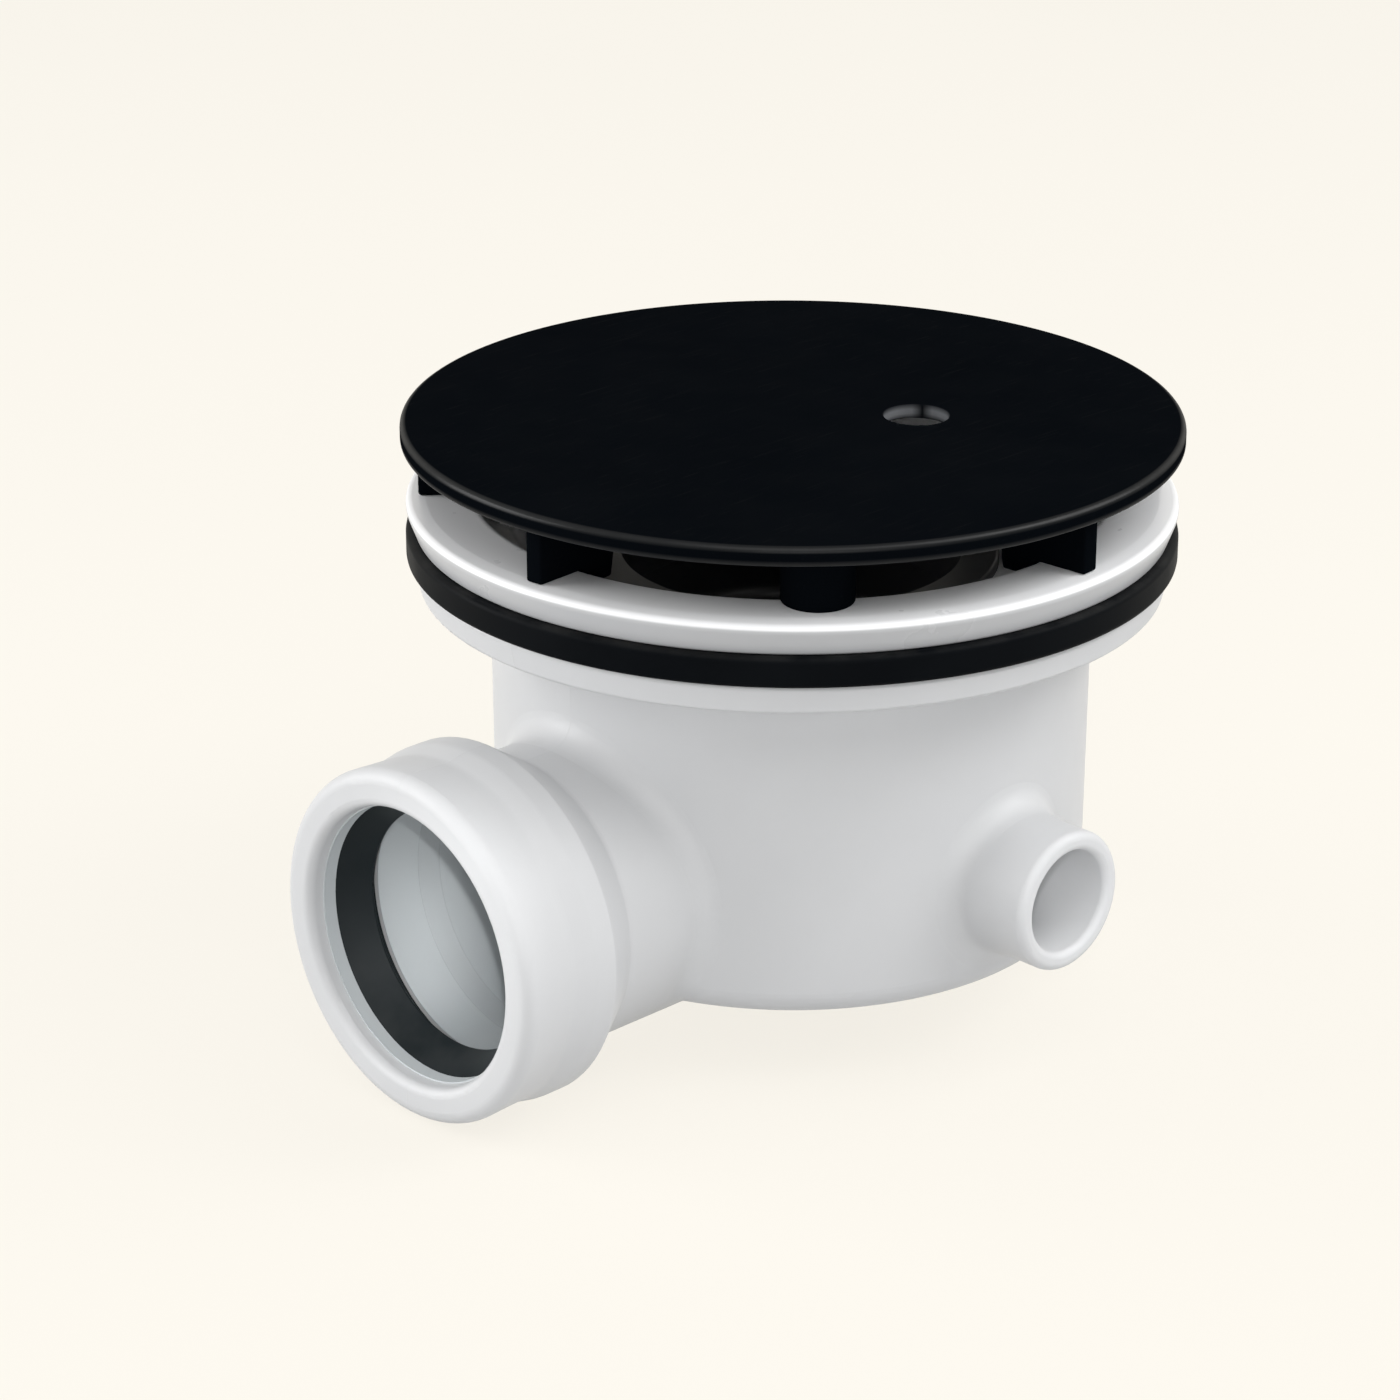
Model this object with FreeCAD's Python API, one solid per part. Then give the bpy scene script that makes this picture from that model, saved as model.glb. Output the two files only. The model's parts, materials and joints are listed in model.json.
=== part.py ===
import FreeCAD, Part
import math
import os

# Shower waste for a round hole in a shower tray, in millimetres.
# The origin is on the waste's axis, in the plane of the tray's upper surface.
# +Z points up, +X along the outlet socket and +Y along the side spigot.

# Hole in the shower tray, which the flange's dish and the pot are sized to
tray_hole_r = 45.0
tray_hole_clearance = 0.7

# Clamping flange, a dished ring that overlaps the tray round the hole
flange_overlap = 12.3
flange_edge_h = 4.6
flange_edge_taper = 1.7
flange_edge_round = 0.6
crest_rise = 0.3
crest_edge_w = 3.3
crest_edge_round = 3.0
crest_set_out = 2.7
crest_inner_round = 1.5
dish_knee_in = 2.5
dish_knee_h = 0.6
dish_knee_round = 3.0
dish_lead = 1.2
dish_taper = 3.3
dish_depth = 6.0
dish_floor_t = 2.0
dish_wall = 2.1
dish_corner_round = 1.0
floor_ring_w = 9.7
collar_wall = 1.8
collar_depth = 12.0
collar_root_round = 0.8

# Cover
cover_overhang = 0.2
cover_rim_t = 2.8
cover_rim_w = 2.0
cover_wall = 2.2
cover_crown = 1.0
cover_top_round = 0.9
cover_lower_round = 0.5
finger_hole_r = 4.75
finger_hole_offset = 18.25
finger_hole_angle = 125.5
drain_gap = 8.5

# Feet under the cover: ribs, with a round boss in place of every fourth one
foot_count = 8
foot_turn = 49.0
boss_every = 4
rib_t = 2.8
rib_inset = 2.5
rib_chamfer = 0.4
rib_leg_w = 3.0
rib_inner_slope_w = 2.0
cover_boss_r = 5.2
cover_boss_set_out = 0.4
centring_clearance = 0.5

# Tray seal
seal_t = 4.5
seal_set_in = 0.3
seal_hole_clearance = 1.0
seal_round = 0.8

# Trap body: pot and flange
pot_clearance = 0.25
pot_draft = 0.3
pot_wall = 2.8
pot_floor_t = 2.5
pot_depth = 60.7
pot_corner_round = 4.0
pot_inner_round = 1.5
body_flange_set_in = 1.3
body_flange_taper = 0.9
body_flange_t = 4.5
body_flange_round = 0.8
body_neck_round = 1.5
mouth_cone_below = 2.0

# Outlet: a trough under the pot's floor and a pipe stub, ending in a push-fit socket
pipe_r = 20.0
pipe_clearance = 0.4
pipe_stop_w = 0.8
pipe_stop_cone = 3.0
outlet_rise = 15.5
outlet_wall = 2.8
outlet_blend = 4.0
outlet_stub = 11.9
trough_end_x = 2.0
socket_depth = 20.4
socket_wall = 3.0
socket_bulge_w = 3.5
socket_shoulder_w = 7.0
socket_shoulder_round = 2.0
socket_ridge_round = 1.0
socket_bulge_round = 4.0
socket_waist_w = 8.9
socket_waist_t = 5.5
socket_waist_round = 5.0
socket_lip_t = 5.9
socket_lip_round = 2.0
socket_mouth_w = 0.5
socket_mouth_round = 1.4
socket_ledge_w = 0.2
socket_ledge_depth = 2.6
seal_groove_depth = 3.2
seal_groove_w = 8.0
seal_setback = 4.7

# Lip seal in the outlet socket
lip_reach = 2.6
lip_length = 5.1
lip_t = 1.2
lip_tip_round = 0.3
lip_seal_wall = 2.4
lip_seal_clearance = 0.05

# Side spigot with a stop for the hose, closed by the pot's wall until it is drilled through
spigot_rise = 16.8
spigot_r = 10.5
spigot_wall = 2.8
spigot_length = 11.9
spigot_stop_h = 0.3
spigot_stop_w = 4.2
spigot_lip_round = 1.2
spigot_bore_round = 1.0
spigot_blend = 3.6

# Flange screws and the bosses that they enter
screw_count = 4
screw_turn = 45.0
screw_head_r = 3.4
screw_head_h = 2.6
screw_head_round = 1.2
screw_shank_r = 2.3
screw_length = 20.0
screw_slot_w = 1.2
screw_slot_depth = 1.3
screw_hole_clearance = 0.4
screw_pilot_clearance = 0.05
screw_tip_clearance = 1.0
screw_boss_wall = 1.05
screw_boss_gap = 1.0
screw_boss_floor = 1.5
screw_boss_clearance = 0.3
screw_web_t = 3.0

# Dip tube, which hangs by its lip in the flange's collar
funnel_w = 9.4
tube_wall = 1.8
tube_lip_w = 1.6
tube_lip_t = 1.4
tube_lip_round = 0.5
tube_collar_clearance = 0.25
tube_collar_depth = 10.5
tube_collar_wall = 3.6
funnel_drop = 4.5
funnel_wall = 2.6
funnel_round = 3.0
o_ring_section_r = 1.2
o_ring_clearance = 0.05
o_ring_groove_play = 0.15
o_ring_drop = 5.0

# Trap cup, which stands on the pot's floor and holds the water seal
cup_passage = 1.3
cup_wall = 1.7
cup_base_t = 1.7
cup_corner_round = 3.0
cup_inner_round = 2.0
cup_tube_gap = 5.8
seal_depth = 20.0
cup_foot_count = 3
cup_foot_turn = 60.0
cup_foot_h = 4.0
cup_foot_r = 2.6
cup_foot_set_in = 5.4
cup_fin_t = 1.6
cup_fin_below_rim = 6.0
cup_fin_clearance = 0.4

# Tolerances for telling points and edges apart
same_point = 1e-6
on_surface = 0.01
edge_shares = (0.05, 0.35, 0.65, 0.95)

# Radii and heights that follow from the sizes above
flange_r = tray_hole_r + flange_overlap
dish_r = tray_hole_r - tray_hole_clearance
dish_knee_r = dish_r - dish_knee_in
dish_floor_r = dish_r - dish_taper
dish_floor_in_r = dish_floor_r - dish_wall
dish_floor_z = -dish_depth
dish_under_z = dish_floor_z - dish_floor_t
collar_r = dish_floor_in_r - floor_ring_w
collar_out_r = collar_r + collar_wall
crest_h = flange_edge_h + crest_rise
crest_out_r = flange_r - crest_edge_w
crest_in_r = dish_r + crest_set_out
cover_r = flange_r + cover_overhang
cover_under_z = crest_h + drain_gap
cover_edge_z = cover_under_z + cover_rim_t
foot_top_z = cover_edge_z - cover_wall / 2
body_top_z = -seal_t
pot_r = tray_hole_r - pot_clearance
pot_foot_r = pot_r - pot_draft
pot_bore_r = pot_foot_r - pot_wall
pot_bottom_z = -pot_depth
pot_floor_z = pot_bottom_z + pot_floor_t
outlet_z = pot_bottom_z + outlet_rise
outlet_bore_r = pipe_r - pipe_stop_w
outlet_r = outlet_bore_r + outlet_wall
socket_bore_r = pipe_r + pipe_clearance
socket_stop_x = pot_r + outlet_stub
socket_mouth_x = socket_stop_x + socket_depth
seal_groove_r = socket_bore_r + seal_groove_depth
seal_groove_out_x = socket_mouth_x - seal_setback
seal_groove_in_x = seal_groove_out_x - seal_groove_w
spigot_z = pot_bottom_z + spigot_rise
spigot_root_r = spigot_r + spigot_stop_h
spigot_end_y = pot_r + spigot_length
screw_pilot_r = screw_shank_r + screw_pilot_clearance
screw_boss_r = screw_pilot_r + screw_boss_wall
screw_offset = collar_out_r + screw_boss_clearance + screw_boss_r
cup_r = collar_r - cup_passage
cup_under_z = pot_floor_z + cup_foot_h
cup_base_z = cup_under_z + cup_base_t
tube_end_z = cup_base_z + cup_tube_gap
cup_rim_z = tube_end_z + seal_depth
tube_r = collar_r - funnel_w
tube_collar_r = collar_r - tube_collar_clearance
o_ring_r = collar_r - o_ring_clearance - o_ring_section_r
o_ring_z = dish_floor_z - o_ring_drop

origin = FreeCAD.Vector(0, 0, 0)
x_axis = FreeCAD.Vector(1, 0, 0)
y_axis = FreeCAD.Vector(0, 1, 0)
z_axis = FreeCAD.Vector(0, 0, 1)


def rounded_wire(corners):
    """Closed wire in the XZ plane through (x, z) or (x, z, round) corners, rounded by tangent arcs."""
    points = [FreeCAD.Vector(corner[0], 0, corner[1]) for corner in corners]
    rounds = [corner[2] if len(corner) > 2 else 0 for corner in corners]
    bends = []
    for i, point in enumerate(points):
        back = (points[i - 1] - point).normalize()
        ahead = (points[(i + 1) % len(points)] - point).normalize()
        if not rounds[i]:
            bends.append((point, point, point))
            continue
        half_angle = back.getAngle(ahead) / 2
        reach = rounds[i] / math.tan(half_angle)
        inward = (back + ahead).normalize()
        bulge = rounds[i] / math.sin(half_angle) - rounds[i]
        bends.append((point + back * reach, point + inward * bulge, point + ahead * reach))
    edges = []
    for i, (start, middle, end) in enumerate(bends):
        if rounds[i]:
            edges.append(Part.Arc(start, middle, end).toShape())
        following = bends[(i + 1) % len(bends)][0]
        if end.distanceToPoint(following) > same_point:
            edges.append(Part.LineSegment(end, following).toShape())
    return Part.Wire(edges)


def turned(corners):
    """Solid turned about the Z axis from a profile of (radius, height) corners."""
    return Part.Face(rounded_wire(corners)).revolve(origin, z_axis, 360)


def turned_along_outlet(corners):
    """Solid turned about the outlet's axis from a profile of (x, radius) corners."""
    solid = Part.Face(rounded_wire(corners)).revolve(origin, x_axis, 360)
    return solid.translated(z_axis * outlet_z)


def cylinder(radius, low, high, x=0.0, y=0.0):
    """Upright cylinder between two heights."""
    return Part.makeCylinder(radius, high - low, FreeCAD.Vector(x, y, low))


def radial_plate(profile, thickness):
    """Upright plate along +X, centred on it, from a profile of (radius, height) corners."""
    plate = Part.Face(rounded_wire(profile)).extrude(y_axis * thickness)
    return plate.translated(y_axis * (-thickness / 2))


def around(offset, angle):
    """Point in the XY plane at a distance from the axis and an angle from +X."""
    turn = math.radians(angle)
    return offset * math.cos(turn), offset * math.sin(turn)


def ring_of(count, first_angle):
    """Angles of a number of equal steps round the axis."""
    return [first_angle + 360.0 * i / count for i in range(count)]


def cover_rib():
    """Rib along +X: its foot stands on the flange's crest, and its leg centres the cover in the dish."""
    out_r = cover_r - rib_inset
    heel_r = crest_in_r - centring_clearance
    leg_out_r = heel_r - rib_leg_w
    leg_in_r = leg_out_r - rib_leg_w
    dish_slope = (crest_h - dish_knee_h) / (crest_in_r - dish_knee_r)
    leg_z = crest_h - rib_leg_w * dish_slope
    return radial_plate([
        (out_r, foot_top_z),
        (out_r, crest_h + rib_chamfer),
        (out_r - rib_chamfer, crest_h),
        (heel_r, crest_h),
        (leg_out_r, leg_z),
        (leg_in_r, leg_z),
        (leg_in_r - rib_inner_slope_w, foot_top_z),
    ], rib_t)


def cover_disc():
    """Disc with a shallow spherical crown, a rounded edge and a rim that is thicker than its wall."""
    crown_z = cover_edge_z + cover_crown
    sphere_r = (cover_r ** 2 + cover_crown ** 2) / (2 * cover_crown)

    def crown_point(radius, drop):
        height = crown_z - sphere_r + math.sqrt(sphere_r ** 2 - radius ** 2)
        return FreeCAD.Vector(radius, 0, height - drop)

    recess_r = cover_r - cover_rim_w
    top_edge = crown_point(cover_r - cover_top_round, 0)
    under_edge = crown_point(recess_r, cover_wall)
    rim_high = FreeCAD.Vector(cover_r, 0, top_edge.z - cover_top_round)
    rim_low = FreeCAD.Vector(cover_r, 0, cover_under_z + cover_lower_round)
    rim_foot = FreeCAD.Vector(cover_r - cover_lower_round, 0, cover_under_z)
    recess_foot = FreeCAD.Vector(recess_r, 0, cover_under_z)
    arc_inset = 1 - math.sqrt(0.5)
    top_inset = cover_top_round * arc_inset
    low_inset = cover_lower_round * arc_inset
    top_bend = FreeCAD.Vector(cover_r - top_inset, 0, top_edge.z - top_inset)
    low_bend = FreeCAD.Vector(cover_r - low_inset, 0, cover_under_z + low_inset)
    outline = [
        Part.Arc(crown_point(0, 0), crown_point(cover_r / 2, 0), top_edge),
        Part.Arc(top_edge, top_bend, rim_high),
        Part.LineSegment(rim_high, rim_low),
        Part.Arc(rim_low, low_bend, rim_foot),
        Part.LineSegment(rim_foot, recess_foot),
        Part.LineSegment(recess_foot, under_edge),
        Part.Arc(under_edge, crown_point(recess_r / 2, cover_wall), crown_point(0, cover_wall)),
        Part.LineSegment(crown_point(0, cover_wall), crown_point(0, 0)),
    ]
    face = Part.Face(Part.Wire([curve.toShape() for curve in outline]))
    return face.revolve(origin, z_axis, 360)


def make_cover():
    """Cover with a finger hole, standing on its ribs and bosses."""
    hole_x, hole_y = around(finger_hole_offset, finger_hole_angle)
    hole_top_z = cover_edge_z + cover_crown + cover_wall
    hole = cylinder(finger_hole_r, cover_under_z, hole_top_z, hole_x, hole_y)
    feet = []
    for i, angle in enumerate(ring_of(foot_count, foot_turn)):
        if i % boss_every:
            feet.append(cover_rib().rotated(origin, z_axis, angle))
        else:
            boss_x, boss_y = around(crest_in_r + cover_boss_set_out, angle)
            feet.append(cylinder(cover_boss_r, crest_h, foot_top_z, boss_x, boss_y))
    return cover_disc().cut(hole).fuse(feet)


def make_clamping_flange():
    """Dished ring: it lies on the tray, dips through the hole and ends in a collar for the dip tube."""
    ring = turned([
        (collar_r, dish_floor_z),
        (dish_floor_in_r, dish_floor_z, dish_corner_round),
        (dish_knee_r, dish_knee_h, dish_knee_round),
        (crest_in_r, crest_h, crest_inner_round),
        (crest_out_r, crest_h, crest_edge_round),
        (flange_r, flange_edge_h, flange_edge_round),
        (flange_r - flange_edge_taper, 0, flange_edge_round),
        (dish_r, 0),
        (dish_r, -dish_lead),
        (dish_floor_r, dish_under_z),
        (collar_out_r, dish_under_z, collar_root_round),
        (collar_out_r, dish_floor_z - collar_depth),
        (collar_r, dish_floor_z - collar_depth),
    ])
    hole_r = screw_shank_r + screw_hole_clearance
    holes = []
    for angle in ring_of(screw_count, screw_turn):
        x, y = around(screw_offset, angle)
        holes.append(cylinder(hole_r, dish_under_z, dish_floor_z, x, y))
    return ring.cut(holes)


def make_flange_screws():
    """Slotted pan-head screws, with their heads on the flange's floor."""
    screw = turned([
        (0, screw_head_h),
        (screw_head_r, screw_head_h, screw_head_round),
        (screw_head_r, 0),
        (screw_shank_r, 0),
        (screw_shank_r, -screw_length),
        (0, -screw_length),
    ])
    slot = Part.makeBox(2 * screw_head_r, screw_slot_w, screw_slot_depth)
    slot.translate(FreeCAD.Vector(-screw_head_r, -screw_slot_w / 2, screw_head_h - screw_slot_depth))
    screw = screw.cut(slot)
    screws = []
    for angle in ring_of(screw_count, screw_turn):
        x, y = around(screw_offset, angle)
        screws.append(screw.translated(FreeCAD.Vector(x, y, dish_floor_z)))
    return Part.makeCompound(screws)


def make_tray_seal():
    """Flat rubber ring between the tray and the trap body's flange."""
    in_r = tray_hole_r + seal_hole_clearance
    out_r = flange_r - seal_set_in
    return turned([
        (in_r, -seal_t),
        (in_r, 0),
        (out_r, 0, seal_round),
        (out_r, -seal_t, seal_round),
    ])


def pot_outside():
    """Outside of the pot and of the flange round its mouth, without the openings."""
    neck_z = body_top_z - body_flange_t
    rim_r = flange_r - body_flange_set_in
    return turned([
        (0, pot_bottom_z),
        (pot_foot_r, pot_bottom_z, pot_corner_round),
        (pot_r, neck_z, body_neck_round),
        (rim_r - body_flange_taper, neck_z, body_flange_round),
        (rim_r, body_top_z, body_flange_round),
        (0, body_top_z),
    ])


def pot_inside():
    """Inside of the pot, with a cone at its mouth that takes the flange's dish."""
    return turned([
        (0, pot_floor_z),
        (pot_bore_r, pot_floor_z, pot_inner_round),
        (pot_bore_r, dish_under_z - mouth_cone_below),
        (dish_r, body_top_z),
        (0, body_top_z),
    ])


def outlet_outside():
    """Outside of the outlet: a trough with a round end, then the pipe stub and the socket."""
    shoulder_x = socket_stop_x - outlet_wall
    bulge_x = shoulder_x + socket_shoulder_w
    bulge_r = seal_groove_r + socket_wall
    return turned_along_outlet([
        (trough_end_x, 0),
        (trough_end_x, outlet_r, outlet_r),
        (shoulder_x, outlet_r, socket_shoulder_round),
        (bulge_x, bulge_r, socket_ridge_round),
        (bulge_x + socket_bulge_w, bulge_r, socket_bulge_round),
        (socket_mouth_x - socket_waist_w, socket_bore_r + socket_waist_t, socket_waist_round),
        (socket_mouth_x, socket_bore_r + socket_lip_t, socket_lip_round),
        (socket_mouth_x, 0),
    ])


def outlet_inside():
    """Inside of the outlet, with the stop for the pipe and the groove of the lip seal."""
    bore_end_x = trough_end_x + outlet_wall
    ledge_x = socket_mouth_x - socket_ledge_depth
    past_r = seal_groove_r + socket_wall
    past_x = socket_mouth_x + outlet_wall
    return turned_along_outlet([
        (bore_end_x, 0),
        (bore_end_x, outlet_bore_r, outlet_bore_r),
        (socket_stop_x - pipe_stop_cone, outlet_bore_r),
        (socket_stop_x, socket_bore_r),
        (seal_groove_in_x, socket_bore_r),
        (seal_groove_in_x, seal_groove_r),
        (seal_groove_out_x, seal_groove_r),
        (seal_groove_out_x, socket_bore_r),
        (ledge_x, socket_bore_r),
        (ledge_x, socket_bore_r + socket_ledge_w),
        (socket_mouth_x, socket_bore_r + socket_mouth_w, socket_mouth_round),
        (socket_mouth_x, past_r),
        (past_x, past_r),
        (past_x, 0),
    ])


def along_spigot(shape):
    """Turn a shape that stands on the origin so that it lies along the side spigot's axis."""
    return shape.rotated(origin, x_axis, -90).translated(z_axis * spigot_z)


def edges_between(shape, distance, limit_r):
    """Edges whose points all lie on the surface where distance is zero, within limit_r of the axis."""
    found = []
    for edge in shape.Edges:
        first, last = edge.ParameterRange
        points = [edge.valueAt(first + (last - first) * share) for share in edge_shares]
        in_reach = all(math.hypot(point.x, point.y) < limit_r for point in points)
        if in_reach and all(abs(distance(point)) < on_surface for point in points):
            found.append(edge)
    return found


def from_spigot(point):
    """Distance of a point from the outer surface of the spigot's root."""
    if point.y < 0:
        return math.inf
    return math.hypot(point.x, point.z - spigot_z) - spigot_root_r


def from_outlet(point):
    """Distance of a point from the outer surface of the trough and the pipe stub."""
    trough_x = trough_end_x + outlet_r
    along = min(0.0, point.x - trough_x)
    return math.sqrt(along ** 2 + point.y ** 2 + (point.z - outlet_z) ** 2) - outlet_r


def meets_pot(edge):
    """True for an edge on the pot, and false for the seam where the trough's end starts."""
    return edge.BoundBox.XLength > on_surface


def screw_boss(angle):
    """Boss for one flange screw, with a web to the pot's wall."""
    top_z = dish_under_z - screw_boss_gap
    low_z = dish_floor_z - screw_length - screw_tip_clearance - screw_boss_floor
    boss = cylinder(screw_boss_r, low_z, top_z, screw_offset)
    web = radial_plate([
        (screw_offset, low_z),
        (screw_offset, top_z),
        (pot_bore_r + pot_wall / 2, top_z),
        (pot_bore_r + pot_wall / 2, low_z),
    ], screw_web_t)
    pilot = cylinder(screw_pilot_r, low_z + screw_boss_floor, top_z, screw_offset)
    return boss.fuse(web).cut(pilot).rotated(origin, z_axis, angle)


def make_trap_body():
    """One moulded piece: pot, flange, trough, outlet socket, side spigot and screw bosses."""
    stop_y = pot_r + spigot_stop_w
    spigot = along_spigot(turned([
        (0, 0),
        (spigot_root_r, 0),
        (spigot_root_r, stop_y),
        (spigot_r, stop_y),
        (spigot_r, spigot_end_y, spigot_lip_round),
        (0, spigot_end_y),
    ]))
    web_y = pot_bore_r + pot_wall
    bore_r = spigot_r - spigot_wall
    past_y = spigot_end_y + spigot_wall
    spigot_bore = along_spigot(turned([
        (0, web_y),
        (bore_r, web_y),
        (bore_r, spigot_end_y, spigot_bore_round),
        (spigot_r, spigot_end_y),
        (spigot_r, past_y),
        (0, past_y),
    ]))
    outside = pot_outside().fuse([outlet_outside(), spigot]).removeSplitter()
    near_pot = pot_r + on_surface
    outside = outside.makeFillet(spigot_blend, edges_between(outside, from_spigot, near_pot))
    outlet_edges = [edge for edge in edges_between(outside, from_outlet, near_pot) if meets_pot(edge)]
    outside = outside.makeFillet(outlet_blend, outlet_edges)
    body = outside.cut([pot_inside(), outlet_inside(), spigot_bore])
    return body.fuse([screw_boss(angle) for angle in ring_of(screw_count, screw_turn)])


def make_outlet_lip_seal():
    """Rubber ring in the socket's groove, with a lip that points down the pipe."""
    in_x = seal_groove_in_x + lip_seal_clearance
    out_x = seal_groove_out_x
    out_r = seal_groove_r - lip_seal_clearance
    back_r = seal_groove_r - lip_seal_wall
    lip_angle = math.atan2(lip_reach, lip_length)
    tip_x = out_x - lip_length
    tip_r = socket_bore_r - lip_reach
    heel_x = tip_x - lip_t * math.sin(lip_angle)
    heel_r = tip_r + lip_t * math.cos(lip_angle)
    root_x = heel_x + (back_r - heel_r) / math.tan(lip_angle)
    return turned_along_outlet([
        (in_x, out_r),
        (out_x, out_r),
        (out_x, socket_bore_r),
        (tip_x, tip_r, lip_tip_round),
        (heel_x, heel_r, lip_tip_round),
        (root_x, back_r),
        (in_x, back_r),
    ])


def make_dip_tube():
    """Tube with a funnel and a collar, whose lip rests on the flange's floor."""
    lip_top_z = dish_floor_z + tube_lip_t
    lip_r = collar_r + tube_lip_w
    collar_z = dish_floor_z - tube_collar_depth
    funnel_r = tube_collar_r - tube_collar_wall
    funnel_z = collar_z + funnel_wall
    bore_r = tube_r - tube_wall
    groove_half = o_ring_section_r + o_ring_groove_play
    groove_r = o_ring_r - o_ring_section_r - o_ring_clearance
    return turned([
        (funnel_r, lip_top_z),
        (lip_r, lip_top_z, tube_lip_round),
        (lip_r, dish_floor_z),
        (tube_collar_r, dish_floor_z),
        (tube_collar_r, o_ring_z + groove_half),
        (groove_r, o_ring_z + groove_half),
        (groove_r, o_ring_z - groove_half),
        (tube_collar_r, o_ring_z - groove_half),
        (tube_collar_r, collar_z),
        (funnel_r, collar_z),
        (tube_r, collar_z - funnel_drop, funnel_round),
        (tube_r, tube_end_z),
        (bore_r, tube_end_z),
        (bore_r, funnel_z - funnel_drop, funnel_round),
        (funnel_r, funnel_z),
    ])


def make_dip_tube_o_ring():
    """O-ring in the dip tube's collar."""
    return Part.makeTorus(o_ring_r, o_ring_section_r, z_axis * o_ring_z)


def make_trap_cup():
    """Cup round the dip tube's lower end, with fins that centre it and feet on the pot's floor."""
    in_r = cup_r - cup_wall
    cup = turned([
        (0, cup_under_z),
        (cup_r, cup_under_z, cup_corner_round),
        (cup_r, cup_rim_z),
        (in_r, cup_rim_z),
        (in_r, cup_base_z, cup_inner_round),
        (0, cup_base_z),
    ])
    fin_in_r = tube_r + cup_fin_clearance
    fin_top_z = cup_rim_z - cup_fin_below_rim
    fin = radial_plate([
        (fin_in_r, cup_base_z - cup_base_t / 2),
        (cup_r - cup_wall / 2, cup_base_z - cup_base_t / 2 + cup_inner_round),
        (cup_r - cup_wall / 2, fin_top_z),
        (fin_in_r, fin_top_z),
    ], cup_fin_t)
    added = []
    for angle in ring_of(cup_foot_count, cup_foot_turn):
        x, y = around(cup_r - cup_foot_set_in, angle)
        added.append(cylinder(cup_foot_r, pot_floor_z, cup_under_z + cup_base_t / 2, x, y))
        added.append(fin.rotated(origin, z_axis, angle))
    return cup.fuse(added)


os.makedirs("parts", exist_ok=True)
pieces = {
    "cover": make_cover(),
    "clamping_flange": make_clamping_flange(),
    "flange_screws": make_flange_screws(),
    "tray_seal": make_tray_seal(),
    "trap_body": make_trap_body(),
    "outlet_lip_seal": make_outlet_lip_seal(),
    "dip_tube": make_dip_tube(),
    "dip_tube_o_ring": make_dip_tube_o_ring(),
    "trap_cup": make_trap_cup(),
}
for node, shape in pieces.items():
    shape.exportStep("parts/" + node + ".step")
    print(node, "valid", shape.isValid(), "solids", len(shape.Solids), "volume", round(shape.Volume, 1))
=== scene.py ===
# %% [markdown]
# # A shower waste, dressed in Blender
# The solids of this waste come from the CAD pack, in metres and in their final places.
# Here they get their finishes, the pieces that deserve finer meshes are remade, and the
# whole is set on a pale floor under soft studio light.

# %% Load the solids
import bmesh
import bpy
import json
import math
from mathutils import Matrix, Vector

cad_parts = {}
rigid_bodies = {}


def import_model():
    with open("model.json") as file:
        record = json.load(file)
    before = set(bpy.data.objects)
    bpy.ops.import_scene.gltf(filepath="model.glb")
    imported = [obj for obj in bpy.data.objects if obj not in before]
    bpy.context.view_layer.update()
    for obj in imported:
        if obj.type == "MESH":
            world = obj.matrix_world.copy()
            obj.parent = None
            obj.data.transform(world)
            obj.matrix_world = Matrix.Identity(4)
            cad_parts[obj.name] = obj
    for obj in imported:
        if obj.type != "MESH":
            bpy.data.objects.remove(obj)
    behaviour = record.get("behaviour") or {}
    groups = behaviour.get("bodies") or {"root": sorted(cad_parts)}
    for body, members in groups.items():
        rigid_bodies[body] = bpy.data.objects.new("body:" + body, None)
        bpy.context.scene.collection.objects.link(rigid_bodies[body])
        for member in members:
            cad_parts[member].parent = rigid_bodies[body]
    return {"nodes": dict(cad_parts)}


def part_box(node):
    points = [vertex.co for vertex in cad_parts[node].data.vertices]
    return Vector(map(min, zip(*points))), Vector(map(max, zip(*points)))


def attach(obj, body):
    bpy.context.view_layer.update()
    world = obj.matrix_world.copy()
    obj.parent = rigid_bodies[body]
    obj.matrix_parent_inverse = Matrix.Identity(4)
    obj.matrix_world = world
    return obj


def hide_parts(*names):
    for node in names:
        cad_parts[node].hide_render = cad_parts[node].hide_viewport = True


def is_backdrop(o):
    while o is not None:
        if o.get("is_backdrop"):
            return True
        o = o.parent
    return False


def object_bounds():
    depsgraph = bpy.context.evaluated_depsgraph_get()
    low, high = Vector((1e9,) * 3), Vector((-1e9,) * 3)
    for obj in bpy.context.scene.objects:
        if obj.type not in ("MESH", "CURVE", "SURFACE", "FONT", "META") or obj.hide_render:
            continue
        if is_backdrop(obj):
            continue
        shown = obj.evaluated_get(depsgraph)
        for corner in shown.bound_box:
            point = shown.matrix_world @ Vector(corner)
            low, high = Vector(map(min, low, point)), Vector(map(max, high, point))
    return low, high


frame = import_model()
cad_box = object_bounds()
nodes = frame["nodes"]
mm = 0.001
scene = bpy.context.scene
scene.view_settings.view_transform = "Standard"
print("solids:", sorted(nodes))

# %% [markdown]
# ## Camera
# The photograph looks down on the waste from between its outlet and its side spigot, through
# a long lens. The camera is placed by its own point and the point it looks at, and a track
# quaternion turns it, so that no lens shift is needed for the framing.

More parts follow.
